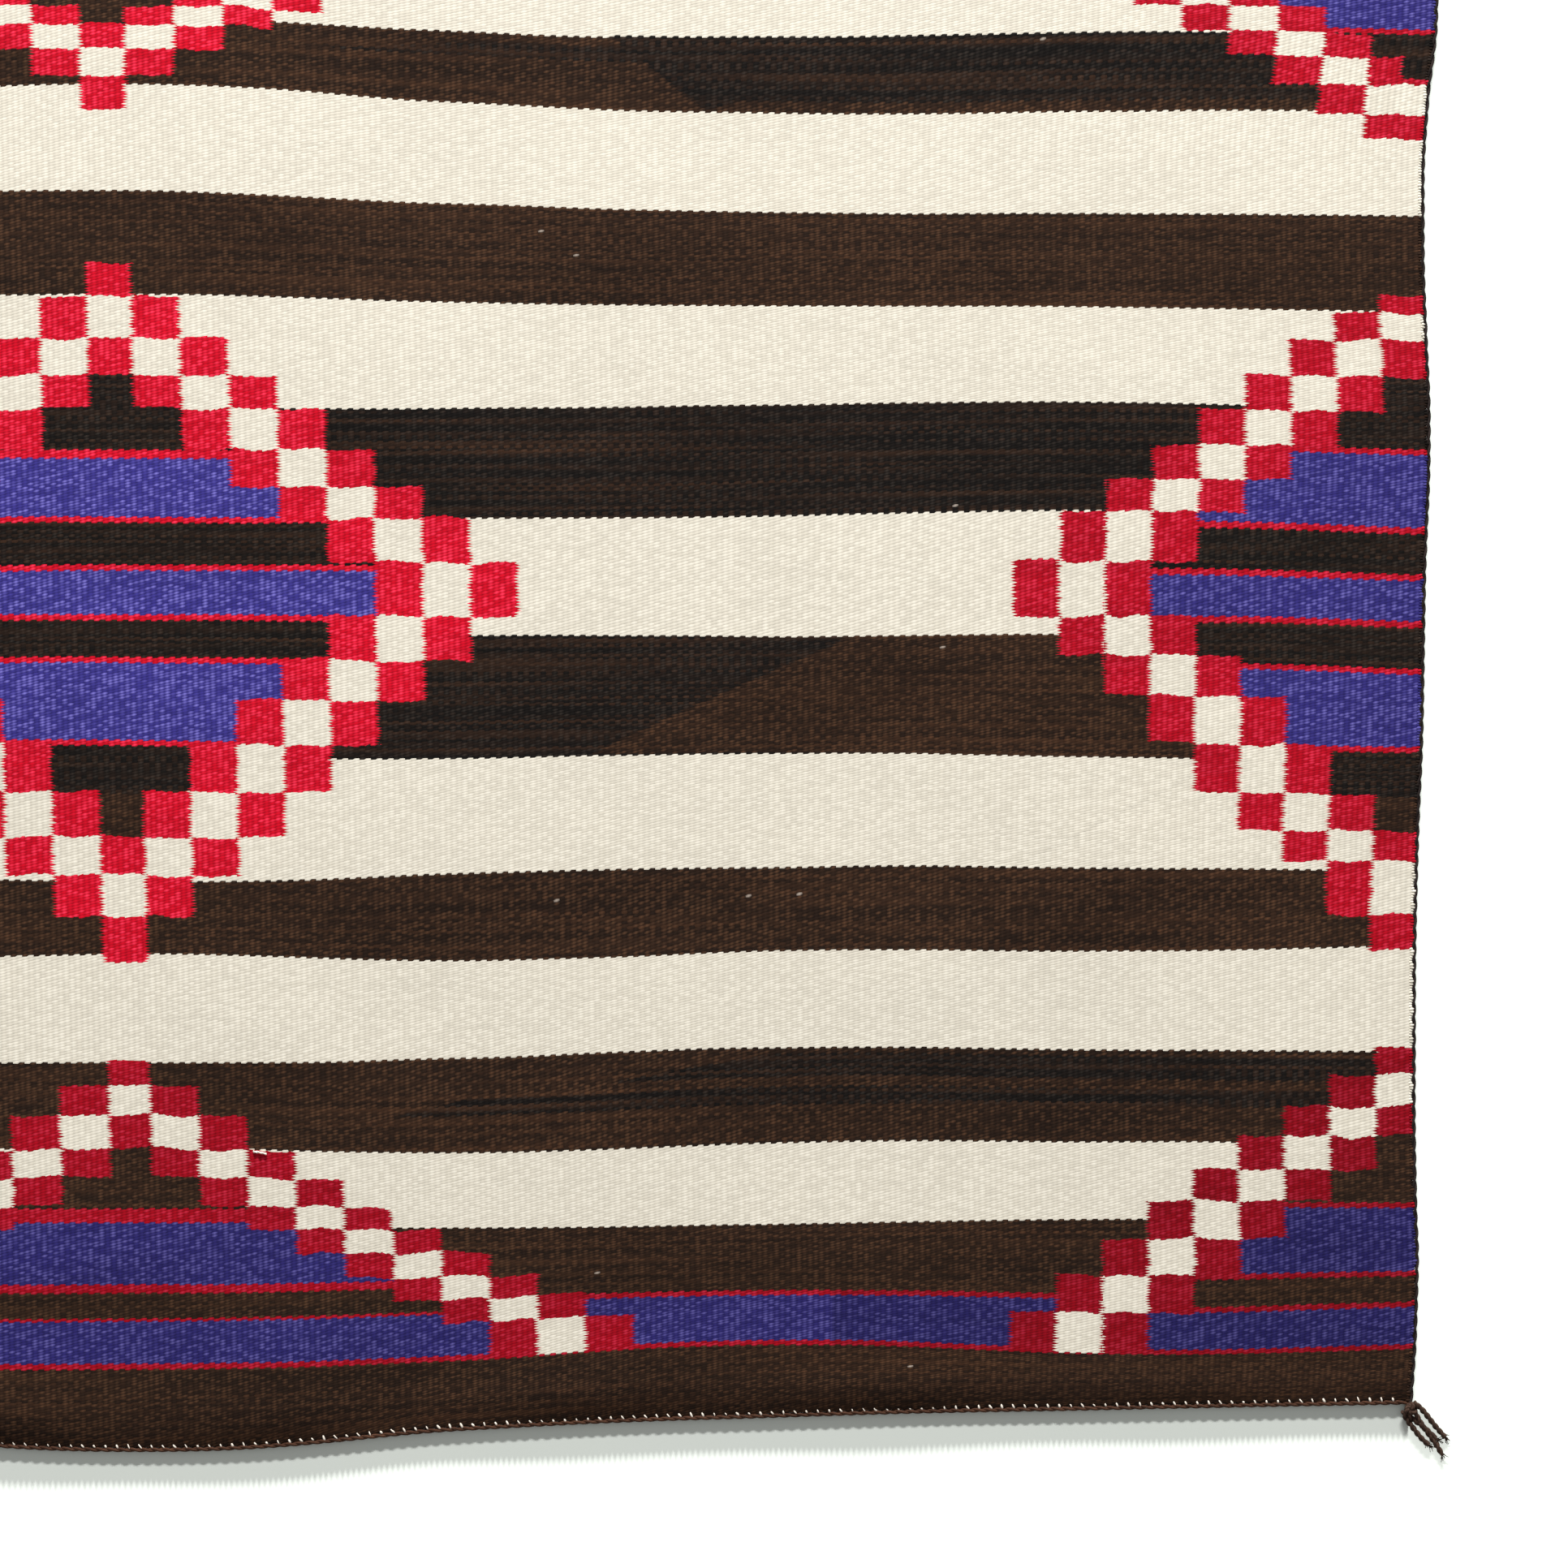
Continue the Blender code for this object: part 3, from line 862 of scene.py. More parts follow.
def web_mesh(settings):
    """The whole web as one closed mesh, with each point's loom place in its "weave" attribute."""
    columns = settings.warps * COLUMNS_PER_WARP
    across, along = np.linspace(-HALF_WIDTH, HALF_WIDTH, columns + 1), row_stations()
    rows = len(along) - 1
    step = COLUMNS_PER_WARP * WARPS_PER_UNDERSIDE_CELL

    top = ribbed_top(across, along, settings)
    loom = np.stack(np.broadcast_arrays(across[:, None], along[None, :]), axis=-1)
    points, looms = [top.reshape(-1, 3)], [loom.reshape(-1, 2)]
    count = points[0].shape[0]
    number = np.arange(count).reshape(columns + 1, rows + 1)
    faces = [grid_faces(number)]

    def outward(i, j):
        return np.stack([(i == columns) * 1.0 - (i == 0), (j == rows) * 1.0 - (j == 0)], axis=-1)

    walk = rim_walk(columns, rows)
    i, j = walk[:, 0], walk[:, 1]
    rings = [number[i, j]]
    for ring in RIM_RINGS:
        plan = cloth_plan(across, along, ring.inset, ring.inset)[i, j]
        points.append(np.column_stack([plan + SHIFT, np.full(len(plan), ring.height)]))
        looms.append(loom[i, j] + outward(i, j) * ring.run)
        rings.append(count + np.arange(len(walk)))
        count += len(walk)
    for upper, lower in zip(rings, rings[1:]):
        faces.append(np.stack([upper, lower, np.roll(lower, -1), np.roll(upper, -1)], axis=-1))

    coarse = np.arange(0, columns + 1, step)
    plan = cloth_plan(across[coarse], along, UNDERSIDE.inset, UNDERSIDE.inset)
    points.append(np.concatenate([plan + SHIFT, np.zeros((*plan.shape[:2], 1))], axis=-1).reshape(-1, 3))
    looms.append(loom[coarse].reshape(-1, 2))
    below = count + np.arange(len(coarse) * (rows + 1)).reshape(len(coarse), rows + 1)
    underside = grid_faces(below, turn=-1)

    # The lowest ring's fine points meet the underside's coarse ones in many-sided faces
    skirt, fine = [], rings[-1]
    corners = [k for k, (a, b) in enumerate(walk) if b in (0, rows) and a % step == 0 or a in (0, columns)]
    for here, there in zip(corners, corners[1:] + [len(walk)]):
        (a, b), (c, d) = walk[here], walk[there % len(walk)]
        run = [int(fine[k % len(walk)]) for k in range(here, there + 1)]
        skirt.append(tuple(reversed(run)) + (int(below[a // step, b]), int(below[c // step, d])))

    return finish_web(np.concatenate(points), np.concatenate(looms), faces, underside, skirt)


def set_attribute(mesh, name, label, numbers):
    """Numbers for a mesh's points, as a vector or a value each."""
    kind = {"vector": "FLOAT_VECTOR", "value": "FLOAT"}[label]
    numbers = np.asarray(numbers, np.float32).ravel()
    mesh.attributes.new(name, kind, "POINT").data.foreach_set(label, numbers)


def finish_web(points, looms, faces, underside, skirt):
    """The web's mesh from its parts, smooth above, with its bake map."""
    upper = [tuple(face) for part in faces for face in part.tolist()]
    lower = [tuple(face) for face in underside.tolist()]
    mesh = bpy.data.meshes.new("web")
    mesh.from_pydata(points.tolist(), [], upper + skirt + lower)
    smooth = np.ones(len(mesh.polygons), bool)
    smooth[len(upper) + len(skirt):] = False
    mesh.polygons.foreach_set("use_smooth", smooth)
    set_attribute(mesh, "weave", "vector", np.column_stack([looms, np.zeros(len(looms))]))

    corner_points = np.empty(len(mesh.loops), np.int32)
    mesh.loops.foreach_get("vertex_index", corner_points)
    first_lower = mesh.polygons[len(upper) + len(skirt)].loop_start
    spread = looms[corner_points]
    share_x = (spread[:, 0] / HALF_WIDTH * FILL_X + 1) / 2
    share_y = (spread[:, 1] - BOTTOM) / (TOP - BOTTOM) * FILL_Y + (1 - FILL_Y) / 2
    place = np.empty((len(mesh.loops), 2))
    for island, chosen in ((TOP_ISLAND, slice(0, first_lower)), (UNDERSIDE_ISLAND, slice(first_lower, None))):
        left, bottom, width, height = island
        place[chosen, 0] = left + share_x[chosen] * width
        place[chosen, 1] = bottom + share_y[chosen] * height
    mesh.uv_layers.new(name="OFBake").data.foreach_set("uv", place.astype(np.float32).ravel())
    mesh.validate()
    mesh.update()
    return mesh


def add_object(name, mesh, material=None):
    if material is not None:
        mesh.materials.append(material)
    made = bpy.data.objects.new(name, mesh)
    bpy.context.scene.collection.objects.link(made)
    return made


def path_mesh(name, lines, weave=None):
    """Bare edges along lines of (points, thicknesses), for a geometry tree to follow."""
    mesh = bpy.data.meshes.new(name)
    points = np.concatenate([line for line, _ in lines])
    edges, start = [], 0
    for line, _ in lines:
        edges += [(start + k, start + k + 1) for k in range(len(line) - 1)]
        start += len(line)
    mesh.from_pydata(points.tolist(), edges, [])
    thickness = np.concatenate([np.broadcast_to(t, len(line)) for line, t in lines])
    set_attribute(mesh, "thickness", "value", thickness)
    if weave is not None:
        set_attribute(mesh, "weave", "vector", weave)
    return mesh


def named_attribute(tree, name):
    node = add_node(tree, "GeometryNodeInputNamedAttribute", {"Name": name}, data_type="FLOAT")
    return Value(tree, node.outputs[0])


def keep_attribute(tree, geometry, name, number):
    node = add_node(
        tree, "GeometryNodeStoreNamedAttribute", {"Geometry": geometry, "Name": name}, data_type="FLOAT"
    )
    feed(tree, node.inputs["Value"], number)
    return node.outputs[0]


def vector_sum(tree, *vectors):
    total = vectors[0]
    for vector in vectors[1:]:
        node = add_node(tree, "ShaderNodeVectorMath", operation="ADD")
        feed(tree, node.inputs[0], total)
        feed(tree, node.inputs[1], vector)
        total = node.outputs[0]
    return total


def end_tree(tree, leave, geometry, wool):
    """The usual end of a tree: smooth, real geometry in its wool."""
    smooth = tree.nodes.new("GeometryNodeSetShadeSmooth")
    feed(tree, smooth.inputs[0], geometry)
    real = add_node(tree, "GeometryNodeRealizeInstances", {"Geometry": smooth.outputs[0]})
    done = add_node(tree, "GeometryNodeSetMaterial", {"Geometry": real.outputs[0], "Material": wool})
    feed(tree, leave.inputs["Geometry"], done.outputs[0])


def stepped_path(tree, geometry, step):
    """A path's curve, divided into even steps."""
    path = add_node(tree, "GeometryNodeMeshToCurve", {"Mesh": geometry}).outputs[0]
    resample = add_node(tree, "GeometryNodeResampleCurve", {"Curve": path}, mode="LENGTH")
    feed(tree, resample.inputs["Length"], step)
    return resample.outputs[0]


LUMP_SCALE = 220.0  # of the noise by which a ply swells and thins


def twisted_yarn_tree():
    """Plies that twist round each other along a path; the path's "thickness" swells or tapers them."""
    tree, given, leave = new_tree(
        "GeometryNodeTree",
        "twisted yarn",
        {
            "Geometry": "NodeSocketGeometry", "Plies": 2, "Twist Length": 20 * MM, "Ply Radius": 0.9 * MM,
            "Ply Offset": 0.85 * MM, "Point Spacing": 1.6 * MM, "Sides": 7, "Unevenness": 0.25,
            "Wool": "NodeSocketMaterial",
        },
        {"Geometry": "NodeSocketGeometry"},
    )
    path = stepped_path(tree, given["Geometry"], given["Point Spacing"])
    level = add_node(tree, "GeometryNodeSetCurveNormal", {"Curve": path}, mode="Z_UP").outputs[0]
    copies = add_node(
        tree, "GeometryNodeDuplicateElements", {"Geometry": level, "Amount": given["Plies"]}, domain="SPLINE"
    )
    run = Value(tree, tree.nodes.new("GeometryNodeSplineParameter").outputs["Length"])
    kept = keep_attribute(tree, copies.outputs["Geometry"], "along", run)

    ply = Value(tree, copies.outputs["Duplicate Index"]) / given["Plies"]
    turns = run / given["Twist Length"] + ply
    beside = tree.nodes.new("GeometryNodeInputNormal").outputs[0]
    upright = add_node(tree, "ShaderNodeVectorMath", operation="CROSS_PRODUCT")
    feed(tree, upright.inputs[0], tree.nodes.new("GeometryNodeInputTangent").outputs[0])
    feed(tree, upright.inputs[1], beside)
    thickness = named_attribute(tree, "thickness")
    reach = thickness * given["Ply Offset"]
    offset = vector_sum(
        tree,
        brighten(tree, beside, turns.wave() * reach),
        brighten(tree, upright.outputs[0], (turns - 0.25).wave() * reach),
    )
    moved = add_node(tree, "GeometryNodeSetPosition", {"Geometry": kept, "Offset": offset}).outputs[0]

    place = tree.nodes.new("GeometryNodeInputPosition").outputs[0]
    lumps = noise(tree, place, LUMP_SCALE, 1.0) - 0.5
    swelling = thickness * (1.0 + lumps * given["Unevenness"] * 2)
    thick = add_node(tree, "GeometryNodeSetCurveRadius", {"Curve": moved, "Radius": swelling}).outputs[0]
    circle = tree.nodes.new("GeometryNodeCurvePrimitiveCircle")
    feed(tree, circle.inputs["Resolution"], given["Sides"])
    feed(tree, circle.inputs["Radius"], given["Ply Radius"])
    round_share = Value(tree, tree.nodes.new("GeometryNodeSplineParameter").outputs["Factor"])
    section = keep_attribute(tree, circle.outputs[0], "around", round_share)
    tube = add_node(
        tree, "GeometryNodeCurveToMesh", {"Curve": thick, "Profile Curve": section, "Fill Caps": True}
    ).outputs[0]
    end_tree(tree, leave, tube, given["Wool"])
    return tree


HUMP_DROOP = -0.55  # how far a turn's ends hang below its middle, as a share of half its height


def humps_tree():
    """Small arched turns of yarn, set across a path at even steps."""
    tree, given, leave = new_tree(
        "GeometryNodeTree",
        "turns of yarn",
        {
            "Geometry": "NodeSocketGeometry", "Spacing": 7.7 * MM, "Length": 3.9 * MM, "Width": 1.7 * MM,
            "Height": 1.4 * MM, "Slant": 1.1, "Unevenness": 0.2, "Seed": 3, "Wool": "NodeSocketMaterial",
        },
        {"Geometry": "NodeSocketGeometry"},
    )
    path = stepped_path(tree, given["Geometry"], given["Spacing"])

    ball = tree.nodes.new("GeometryNodeMeshUVSphere")
    for label, number in (("Segments", 8), ("Rings", 6), ("Radius", 1.0)):
        feed(tree, ball.inputs[label], number)
    x, _, _ = split(tree, tree.nodes.new("GeometryNodeInputPosition").outputs[0])
    droop = add_node(tree, "ShaderNodeCombineXYZ", {"Z": x * x * HUMP_DROOP}).outputs[0]
    hump = add_node(
        tree, "GeometryNodeSetPosition", {"Geometry": ball.outputs[0], "Offset": droop}
    ).outputs[0]

    def uneven(low, high, extra):
        node = add_node(tree, "FunctionNodeRandomValue", data_type="FLOAT")
        entries = {entry.name: entry for entry in node.inputs if entry.enabled}
        feed(tree, entries["Min"], low)
        feed(tree, entries["Max"], high)
        feed(tree, entries["Seed"], given["Seed"] + extra)
        return Value(tree, next(out for out in node.outputs if out.enabled))

    forward_x, forward_y, _ = split(tree, tree.nodes.new("GeometryNodeInputTangent").outputs[0])
    heading = forward_y.math("ARCTAN2", forward_x) + given["Slant"]
    heading = heading + uneven(-1.0, 1.0, 0) * given["Unevenness"]
    rotation = add_node(tree, "ShaderNodeCombineXYZ", {"Z": heading}).outputs[0]
    size = 1.0 + uneven(-1.0, 1.0, 1) * given["Unevenness"]
    scale = add_node(
        tree,
        "ShaderNodeCombineXYZ",
        {
            "X": given["Length"] * size / 2,
            "Y": given["Width"] * (1.0 + uneven(-1.0, 1.0, 2) * given["Unevenness"]) / 2,
            "Z": given["Height"] / 2,
        },
    ).outputs[0]
    placed = add_node(
        tree,
        "GeometryNodeInstanceOnPoints",
        {"Points": path, "Instance": hump, "Rotation": rotation, "Scale": scale},
    ).outputs[0]
    end_tree(tree, leave, placed, given["Wool"])
    return tree


def made_by(tree, name, path, **values):
    """Runs a geometry tree on a path and keeps what it makes as a plain mesh."""
    made = add_object(name, path)
    modifier = made.modifiers.new("maker", "NODES")
    modifier.node_group = tree
    labels = {label.replace("_", " ").title(): value for label, value in values.items()}
    for item in tree.interface.items_tree:
        if item.in_out == "INPUT" and item.name in labels:
            modifier[item.identifier] = labels.pop(item.name)
    if labels:
        raise RuntimeError(f"{tree.name} has no input {sorted(labels)}")
    evaluated = made.evaluated_get(bpy.context.evaluated_depsgraph_get())
    mesh = bpy.data.meshes.new_from_object(evaluated)
    made.modifiers.remove(modifier)
    made.data = mesh
    bpy.data.meshes.remove(path)
    mesh.name = name
    if not mesh.polygons:
        raise RuntimeError(f"{tree.name} made nothing for {name}")
    return made


def shared(kind, name, make):
    """A tree or material that several operators use, made once."""
    return kind.get(name) or make()


# A tassel's knot, outwards from the cloth's corner, and its strands: where each leaves the knot, in
# millimetres across and along from the knot's middle, how it heads and how far it turns, in degrees from the
# width's direction towards the length's, and its length in millimetres
KNOT_ACROSS, KNOT_ALONG = 0.8 * MM, 5.8 * MM
Strand = namedtuple("Strand", "across along heading turn length")
STRANDS = (
    Strand(2, -4.5, 40, 12, 32),
    Strand(0.5, -2, 55, 6, 39),
    Strand(-2, 3.5, 45, -10, 26),
    Strand(-4.5, 1.5, 76, -42, 29),
)
STRAND_STEPS, STRAND_POINTS = 7, 29
STRAND_SWAY, SWAY_TURN = 0.8 * MM, 4.4  # how far a strand sways, and radians of sway from its root to its tip
STRAND_HEIGHT = 4.9 * MM
STRAND_TIP_SHARE = 0.8
STRAND_ROOT_LIFT = 1.0 * MM
STRAND_LANDS = 0.22
Tassel = namedtuple("Tassel", "name side end length turned")
TASSELS = (
    Tassel("tassel_bottom_right", 1, -1, 1.0, 0),
    Tassel("tassel_bottom_left", -1, -1, 0.93, -5),
    Tassel("tassel_top_right", 1, 1, 0.88, 4),
    Tassel("tassel_top_left", -1, 1, 0.96, -3),
)

TASSEL_SEED = 40

KNOT_REACH = 1.15 * MM
KNOT_RISE = 1.3 * MM
KNOT_MIDDLE = 3.4 * MM
KNOT_THICKNESS = 0.85
KNOT_POINTS = 48

# The loose fibres of a frayed tip; lengths and heights in millimetres
FRAY_FIBRES, FRAY_STEPS = 30, 5
FRAY_LENGTHS, FRAY_HEIGHTS, FRAY_LOWEST = (2, 6), (0.3, 1.6), 0.15
FRAY_SPREAD, FRAY_CURL = 0.3, 0.5  # radians
FRAY_TIP_SHARE = 0.35


def corner_place(side, end):
    """Plan place of one corner of the cloth."""
    return cloth_plan([side * HALF_WIDTH], [TOP if end > 0 else BOTTOM])[0, 0] + SHIFT


def to_corner(line, tassel):
    """A line made for the outward quarter of one corner, set at its own corner."""
    place = np.array(line, float)
    corner = corner_place(tassel.side, tassel.end)
    place[:, 0] = (place[:, 0] + KNOT_ACROSS) * tassel.side + corner[0]
    place[:, 1] = (place[:, 1] + KNOT_ALONG) * tassel.end + corner[1]
    return place


def knot_line():
    """An overhand knot pulled tight, round the Z axis."""
    t = np.linspace(0, math.tau, KNOT_POINTS + 1)
    x = np.sin(t) + 2 * np.sin(2 * t)
    y = np.cos(t) - 2 * np.cos(2 * t)
    return np.column_stack([x * KNOT_REACH, y * KNOT_REACH, KNOT_MIDDLE - np.sin(3 * t) * KNOT_RISE])


def strand_line(strand, tassel, draw):
    """One strand out of the knot and down onto the floor, swaying a little; with its thickness."""
    length = strand.length * tassel.length * MM
    heading, turn = math.radians(strand.heading + tassel.turned), math.radians(strand.turn) / STRAND_STEPS
    sway, line, thickness = draw.uniform(0, math.tau), [], []
    spot = np.array([strand.across, strand.along]) * MM
    for k in range(STRAND_STEPS + 1):
        share = k / STRAND_STEPS
        thick = 1 - (1 - STRAND_TIP_SHARE) * share
        lift = STRAND_ROOT_LIFT * max(0, 1 - share / STRAND_LANDS)
        swing = math.sin(SWAY_TURN * share + sway) * STRAND_SWAY
        beside = np.array([-math.sin(heading), math.cos(heading)]) * swing
        line.append([*(spot + beside * min(1, 3 * share)), lift + STRAND_HEIGHT * thick / 2])
        thickness.append(thick)
        heading += turn
        spot = spot + np.array([math.cos(heading), math.sin(heading)]) * length / STRAND_STEPS
    even, fine = (np.linspace(0, 1, count) for count in (STRAND_STEPS + 1, STRAND_POINTS))
    return smoothed(np.array(line), fine), np.interp(fine, even, thickness)


def smoothed(line, fine):
    """The same line at finer places from 0 to 1, without its corners."""
    at = np.linspace(0, 1, len(line))
    return np.column_stack([smooth_curve(at, line[:, k], fine) for k in range(3)])


def fray_lines(line, draw):
    """Loose fibres out of a strand's tip."""
    ahead = line[-1] - line[-5]
    heading = math.atan2(ahead[1], ahead[0])
    fibres = []
    for _ in range(FRAY_FIBRES):
        length, curl = draw.uniform(*FRAY_LENGTHS) * MM, draw.normal(0, FRAY_CURL)
        angle, spot = heading + draw.normal(0, FRAY_SPREAD), line[draw.integers(-4, 0)].copy()
        spot[2] = draw.uniform(*FRAY_HEIGHTS) * MM
        points = [spot.copy()]
        for _ in range(FRAY_STEPS):
            angle += curl / FRAY_STEPS
            spot = spot + np.array([math.cos(angle), math.sin(angle), 0]) * length / FRAY_STEPS
            spot[2] = max(FRAY_LOWEST * MM, spot[2] - draw.uniform(-0.2, 0.35) * MM)
            points.append(spot.copy())
        fibres.append((np.array(points), np.linspace(1, FRAY_TIP_SHARE, FRAY_STEPS + 1)))
    return fibres


def join_meshes(name, parts):
    """Several made pieces as one object, with their materials."""
    with bpy.context.temp_override(active_object=parts[0], selected_editable_objects=parts):
        bpy.ops.object.join()
    parts[0].name = parts[0].data.name = name
    return parts[0]


def declare(piece, slot, *nodes):
    """What every finished piece says: it lies on the body and stands for CAD nodes, which it hides. The slot
    is not used.
    """
    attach(piece, BODY)
    if nodes:
        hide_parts(*nodes)
    return piece


class BLANKET_OT_weave_web(Operator):
    """Weave the blanket's cloth with its stripes and stepped diamonds"""

    bl_idname = "blanket.weave_web"
    bl_label = "Weave Web"

    def execute(self, context):
        settings = context.scene.blanket_weave
        web = add_object("woven_web", web_mesh(settings), cloth_wool_material(settings))
        declare(web, "cloth_wool", "woven_cloth")
        return {"FINISHED"}


# Spun wools: each one's colour setting, and the paler colour of its raised fibres
SpunWool = namedtuple("SpunWool", "name setting tip")
SIDE_CORD_WOOL = SpunWool("cord_wool_spun", "side_wool", (62, 50, 46))
END_CORD_WOOL = SpunWool("end_wool_spun", "end_wool", (98, 66, 48))
WARP_LOOP_WOOL = SpunWool("warp_wool_spun", "warp_wool", (255, 248, 238))
TASSEL_WOOL = SpunWool("tassel_wool_spun", "tassel_wool", (98, 76, 62))

# The plies of twisted yarns, and the arched turns of yarn that show along the edges
Plies = namedtuple("Plies", "plies ply_radius ply_offset point_spacing sides unevenness")
SIDE_CORD_PLIES = Plies(2, 0.92 * MM, 0.8 * MM, 1.5 * MM, 8, 0.25)
END_CORD_PLIES = Plies(2, 1.05 * MM, 0.65 * MM, 1.3 * MM, 7, 0.25)
TASSEL_PLIES = Plies(2, 1.2 * MM, 0.92 * MM, 0.8 * MM, 8, 0.3)
FRAY_PLIES = Plies(1, 0.2 * MM, 0.0, 1.2 * MM, 4, 0.1)
TAIL_PLIES = Plies(2, 0.5 * MM, 0.4 * MM, 0.8 * MM, 6, 0.25)
Turns = namedtuple("Turns", "length width height unevenness")
WARP_LOOPS = Turns(3.6 * MM, 1.3 * MM, 1.1 * MM, 0.3)
WEFT_TURNS = Turns(3.6 * MM, 2.1 * MM, 1.5 * MM, 0.16)


def spun_wool(context, wool):
    """The material of a spun wool, made once for all the operators that use it."""
    colour = getattr(context.scene.blanket_cords, wool.setting)
    return shared(
        bpy.data.materials, wool.name, lambda: spun_wool_material(wool.name, colour, from_bytes(*wool.tip))
    )


def twist_yarn(name, lines, plies, twist_length, wool):
    """Plies twisted along lines of (points, thicknesses)."""
    tree = shared(bpy.data.node_groups, "twisted yarn", twisted_yarn_tree)
    path = path_mesh(name, lines)
    return made_by(tree, name, path, twist_length=twist_length, wool=wool, **plies._asdict())


def set_turns(name, line, turns, weave=None, **values):
    """Arched turns of yarn set along a line."""
    tree = shared(bpy.data.node_groups, "turns of yarn", humps_tree)
    return made_by(tree, name, path_mesh(name, [(line, 1.0)], weave), **turns._asdict(), **values)


def raised(plan, height):
    """Plan places as points at a height, or at one height each, over the floor."""
    return np.column_stack([plan, np.broadcast_to(height, len(plan))])


def into_knots(line, side=0, end=0):
    """A cord's line, led into the knots at the two corners that it runs between."""
    corners = [(side, -1), (side, 1)] if side else [(-1, end), (1, end)]
    ends = []
    for corner_side, corner_end in corners:
        place = corner_place(corner_side, corner_end)
        ends.append([place[0] + corner_side * KNOT_ACROSS, place[1] + corner_end * KNOT_ALONG, KNOT_MIDDLE])
    return np.array([ends[0], *line, ends[1]])


class BLANKET_OT_twist_side_cords(Operator):
    """Twist the two-ply cords that run along the selvages"""

    bl_idname = "blanket.twist_side_cords"
    bl_label = "Twist Side Cords"

    def execute(self, context):
        wool = spun_wool(context, SIDE_CORD_WOOL)
        for name, side in (("right", 1), ("left", -1)):
            line = raised(cloth_edge(side=side), CORD_HEIGHT)
            line[:, 0] += side * SIDE_CORD_OUT
            cord = twist_yarn(
                f"selvage_cord_{name}", [(into_knots(line, side=side), 1.0)], SIDE_CORD_PLIES,
                context.scene.blanket_cords.side_twist, wool,
            )
            declare(cord, "cord_wool", f"side_cord_{name}")
        return {"FINISHED"}


class BLANKET_OT_twist_end_cords(Operator):
    """Twist the cords that hold the warps at the blanket's two ends"""

    bl_idname = "blanket.twist_end_cords"
    bl_label = "Twist End Cords"

    def execute(self, context):
        wool = spun_wool(context, END_CORD_WOOL)
        for name, end in (("top", 1), ("bottom", -1)):
            line = raised(cloth_edge(end=end), CORD_HEIGHT)
            line[:, 1] += end * END_CORD_OUT
            cord = twist_yarn(
                f"twined_cord_{name}", [(into_knots(line, end=end), 1.0)], END_CORD_PLIES,
                context.scene.blanket_cords.end_twist, wool,
            )
            declare(cord, "cord_wool", f"end_cord_{name}")
        return {"FINISHED"}


# Where the warps' loops and the wefts' turns lie, outwards from the cloth's edge and over the floor. The
# turns follow the twist of the side cord in and out, and up and down.
LOOP_OUT, LOOP_HEIGHT = -0.8 * MM, 2.8 * MM
LOOP_SLANT = math.radians(-62)
LOOP_SAMPLES, LOOPS_END = 480, 3  # places along an edge, and how many at each end have no loop
TURN_OUT, TURN_HEIGHT = -0.7 * MM, 2.6 * MM
TURN_SWAY, TURN_RISE = 0.8 * MM, 0.25 * MM
TURN_SAMPLES = 800
TURN_INSET = 1 * MM  # how far in from the selvage a turn takes its yarn from the chart


class BLANKET_OT_set_warp_loops(Operator):
    """Set the pale loops of the warps that show along the end cords"""

    bl_idname = "blanket.set_warp_loops"
    bl_label = "Set Warp Loops"

    def execute(self, context):
        weave = context.scene.blanket_weave
        wool = spun_wool(context, WARP_LOOP_WOOL)
        for name, end in (("top", 1), ("bottom", -1)):
            edge = cloth_edge(end=end, samples=LOOP_SAMPLES)[LOOPS_END:-LOOPS_END]
            line = raised(edge, LOOP_HEIGHT)
            line[:, 1] += end * LOOP_OUT
            loops = set_turns(
                f"warp_loops_{name}", line, WARP_LOOPS, spacing=4 * HALF_WIDTH / weave.warps,
                slant=-end * LOOP_SLANT, seed=5 + end, wool=wool,
            )
            declare(loops, "cloth_wool")
        return {"FINISHED"}


class BLANKET_OT_turn_wefts(Operator):
    """Turn the wefts back round the selvage cords"""

    bl_idname = "blanket.turn_wefts"
    bl_label = "Turn Wefts"

    def execute(self, context):
        weave = context.scene.blanket_weave
        wool = bpy.data.materials["cloth_wool_woven"]
        along = np.linspace(BOTTOM, TOP, TURN_SAMPLES)
        twist = math.tau * 2 * along / context.scene.blanket_cords.side_twist
        sway = np.sin(twist + 0.8) * (0.6 + 0.4 * np.sin(twist * 0.23))
        for name, side in (("right", 1), ("left", -1)):
            edge = cloth_edge(side=side, samples=TURN_SAMPLES)
            line = raised(edge, TURN_HEIGHT + TURN_RISE * np.sin(twist))
            line[:, 0] += side * (TURN_OUT + TURN_SWAY * sway)
            inside = np.full(TURN_SAMPLES, side * (HALF_WIDTH - TURN_INSET))
            loom = np.column_stack([inside, along, np.zeros(TURN_SAMPLES)])
            turns = set_turns(
                f"weft_turns_{name}", line, WEFT_TURNS, loom, spacing=2 * weave.weft,
                slant=math.radians(90), seed=9 + side, wool=wool,
            )
            declare(turns, "cloth_wool")
        return {"FINISHED"}


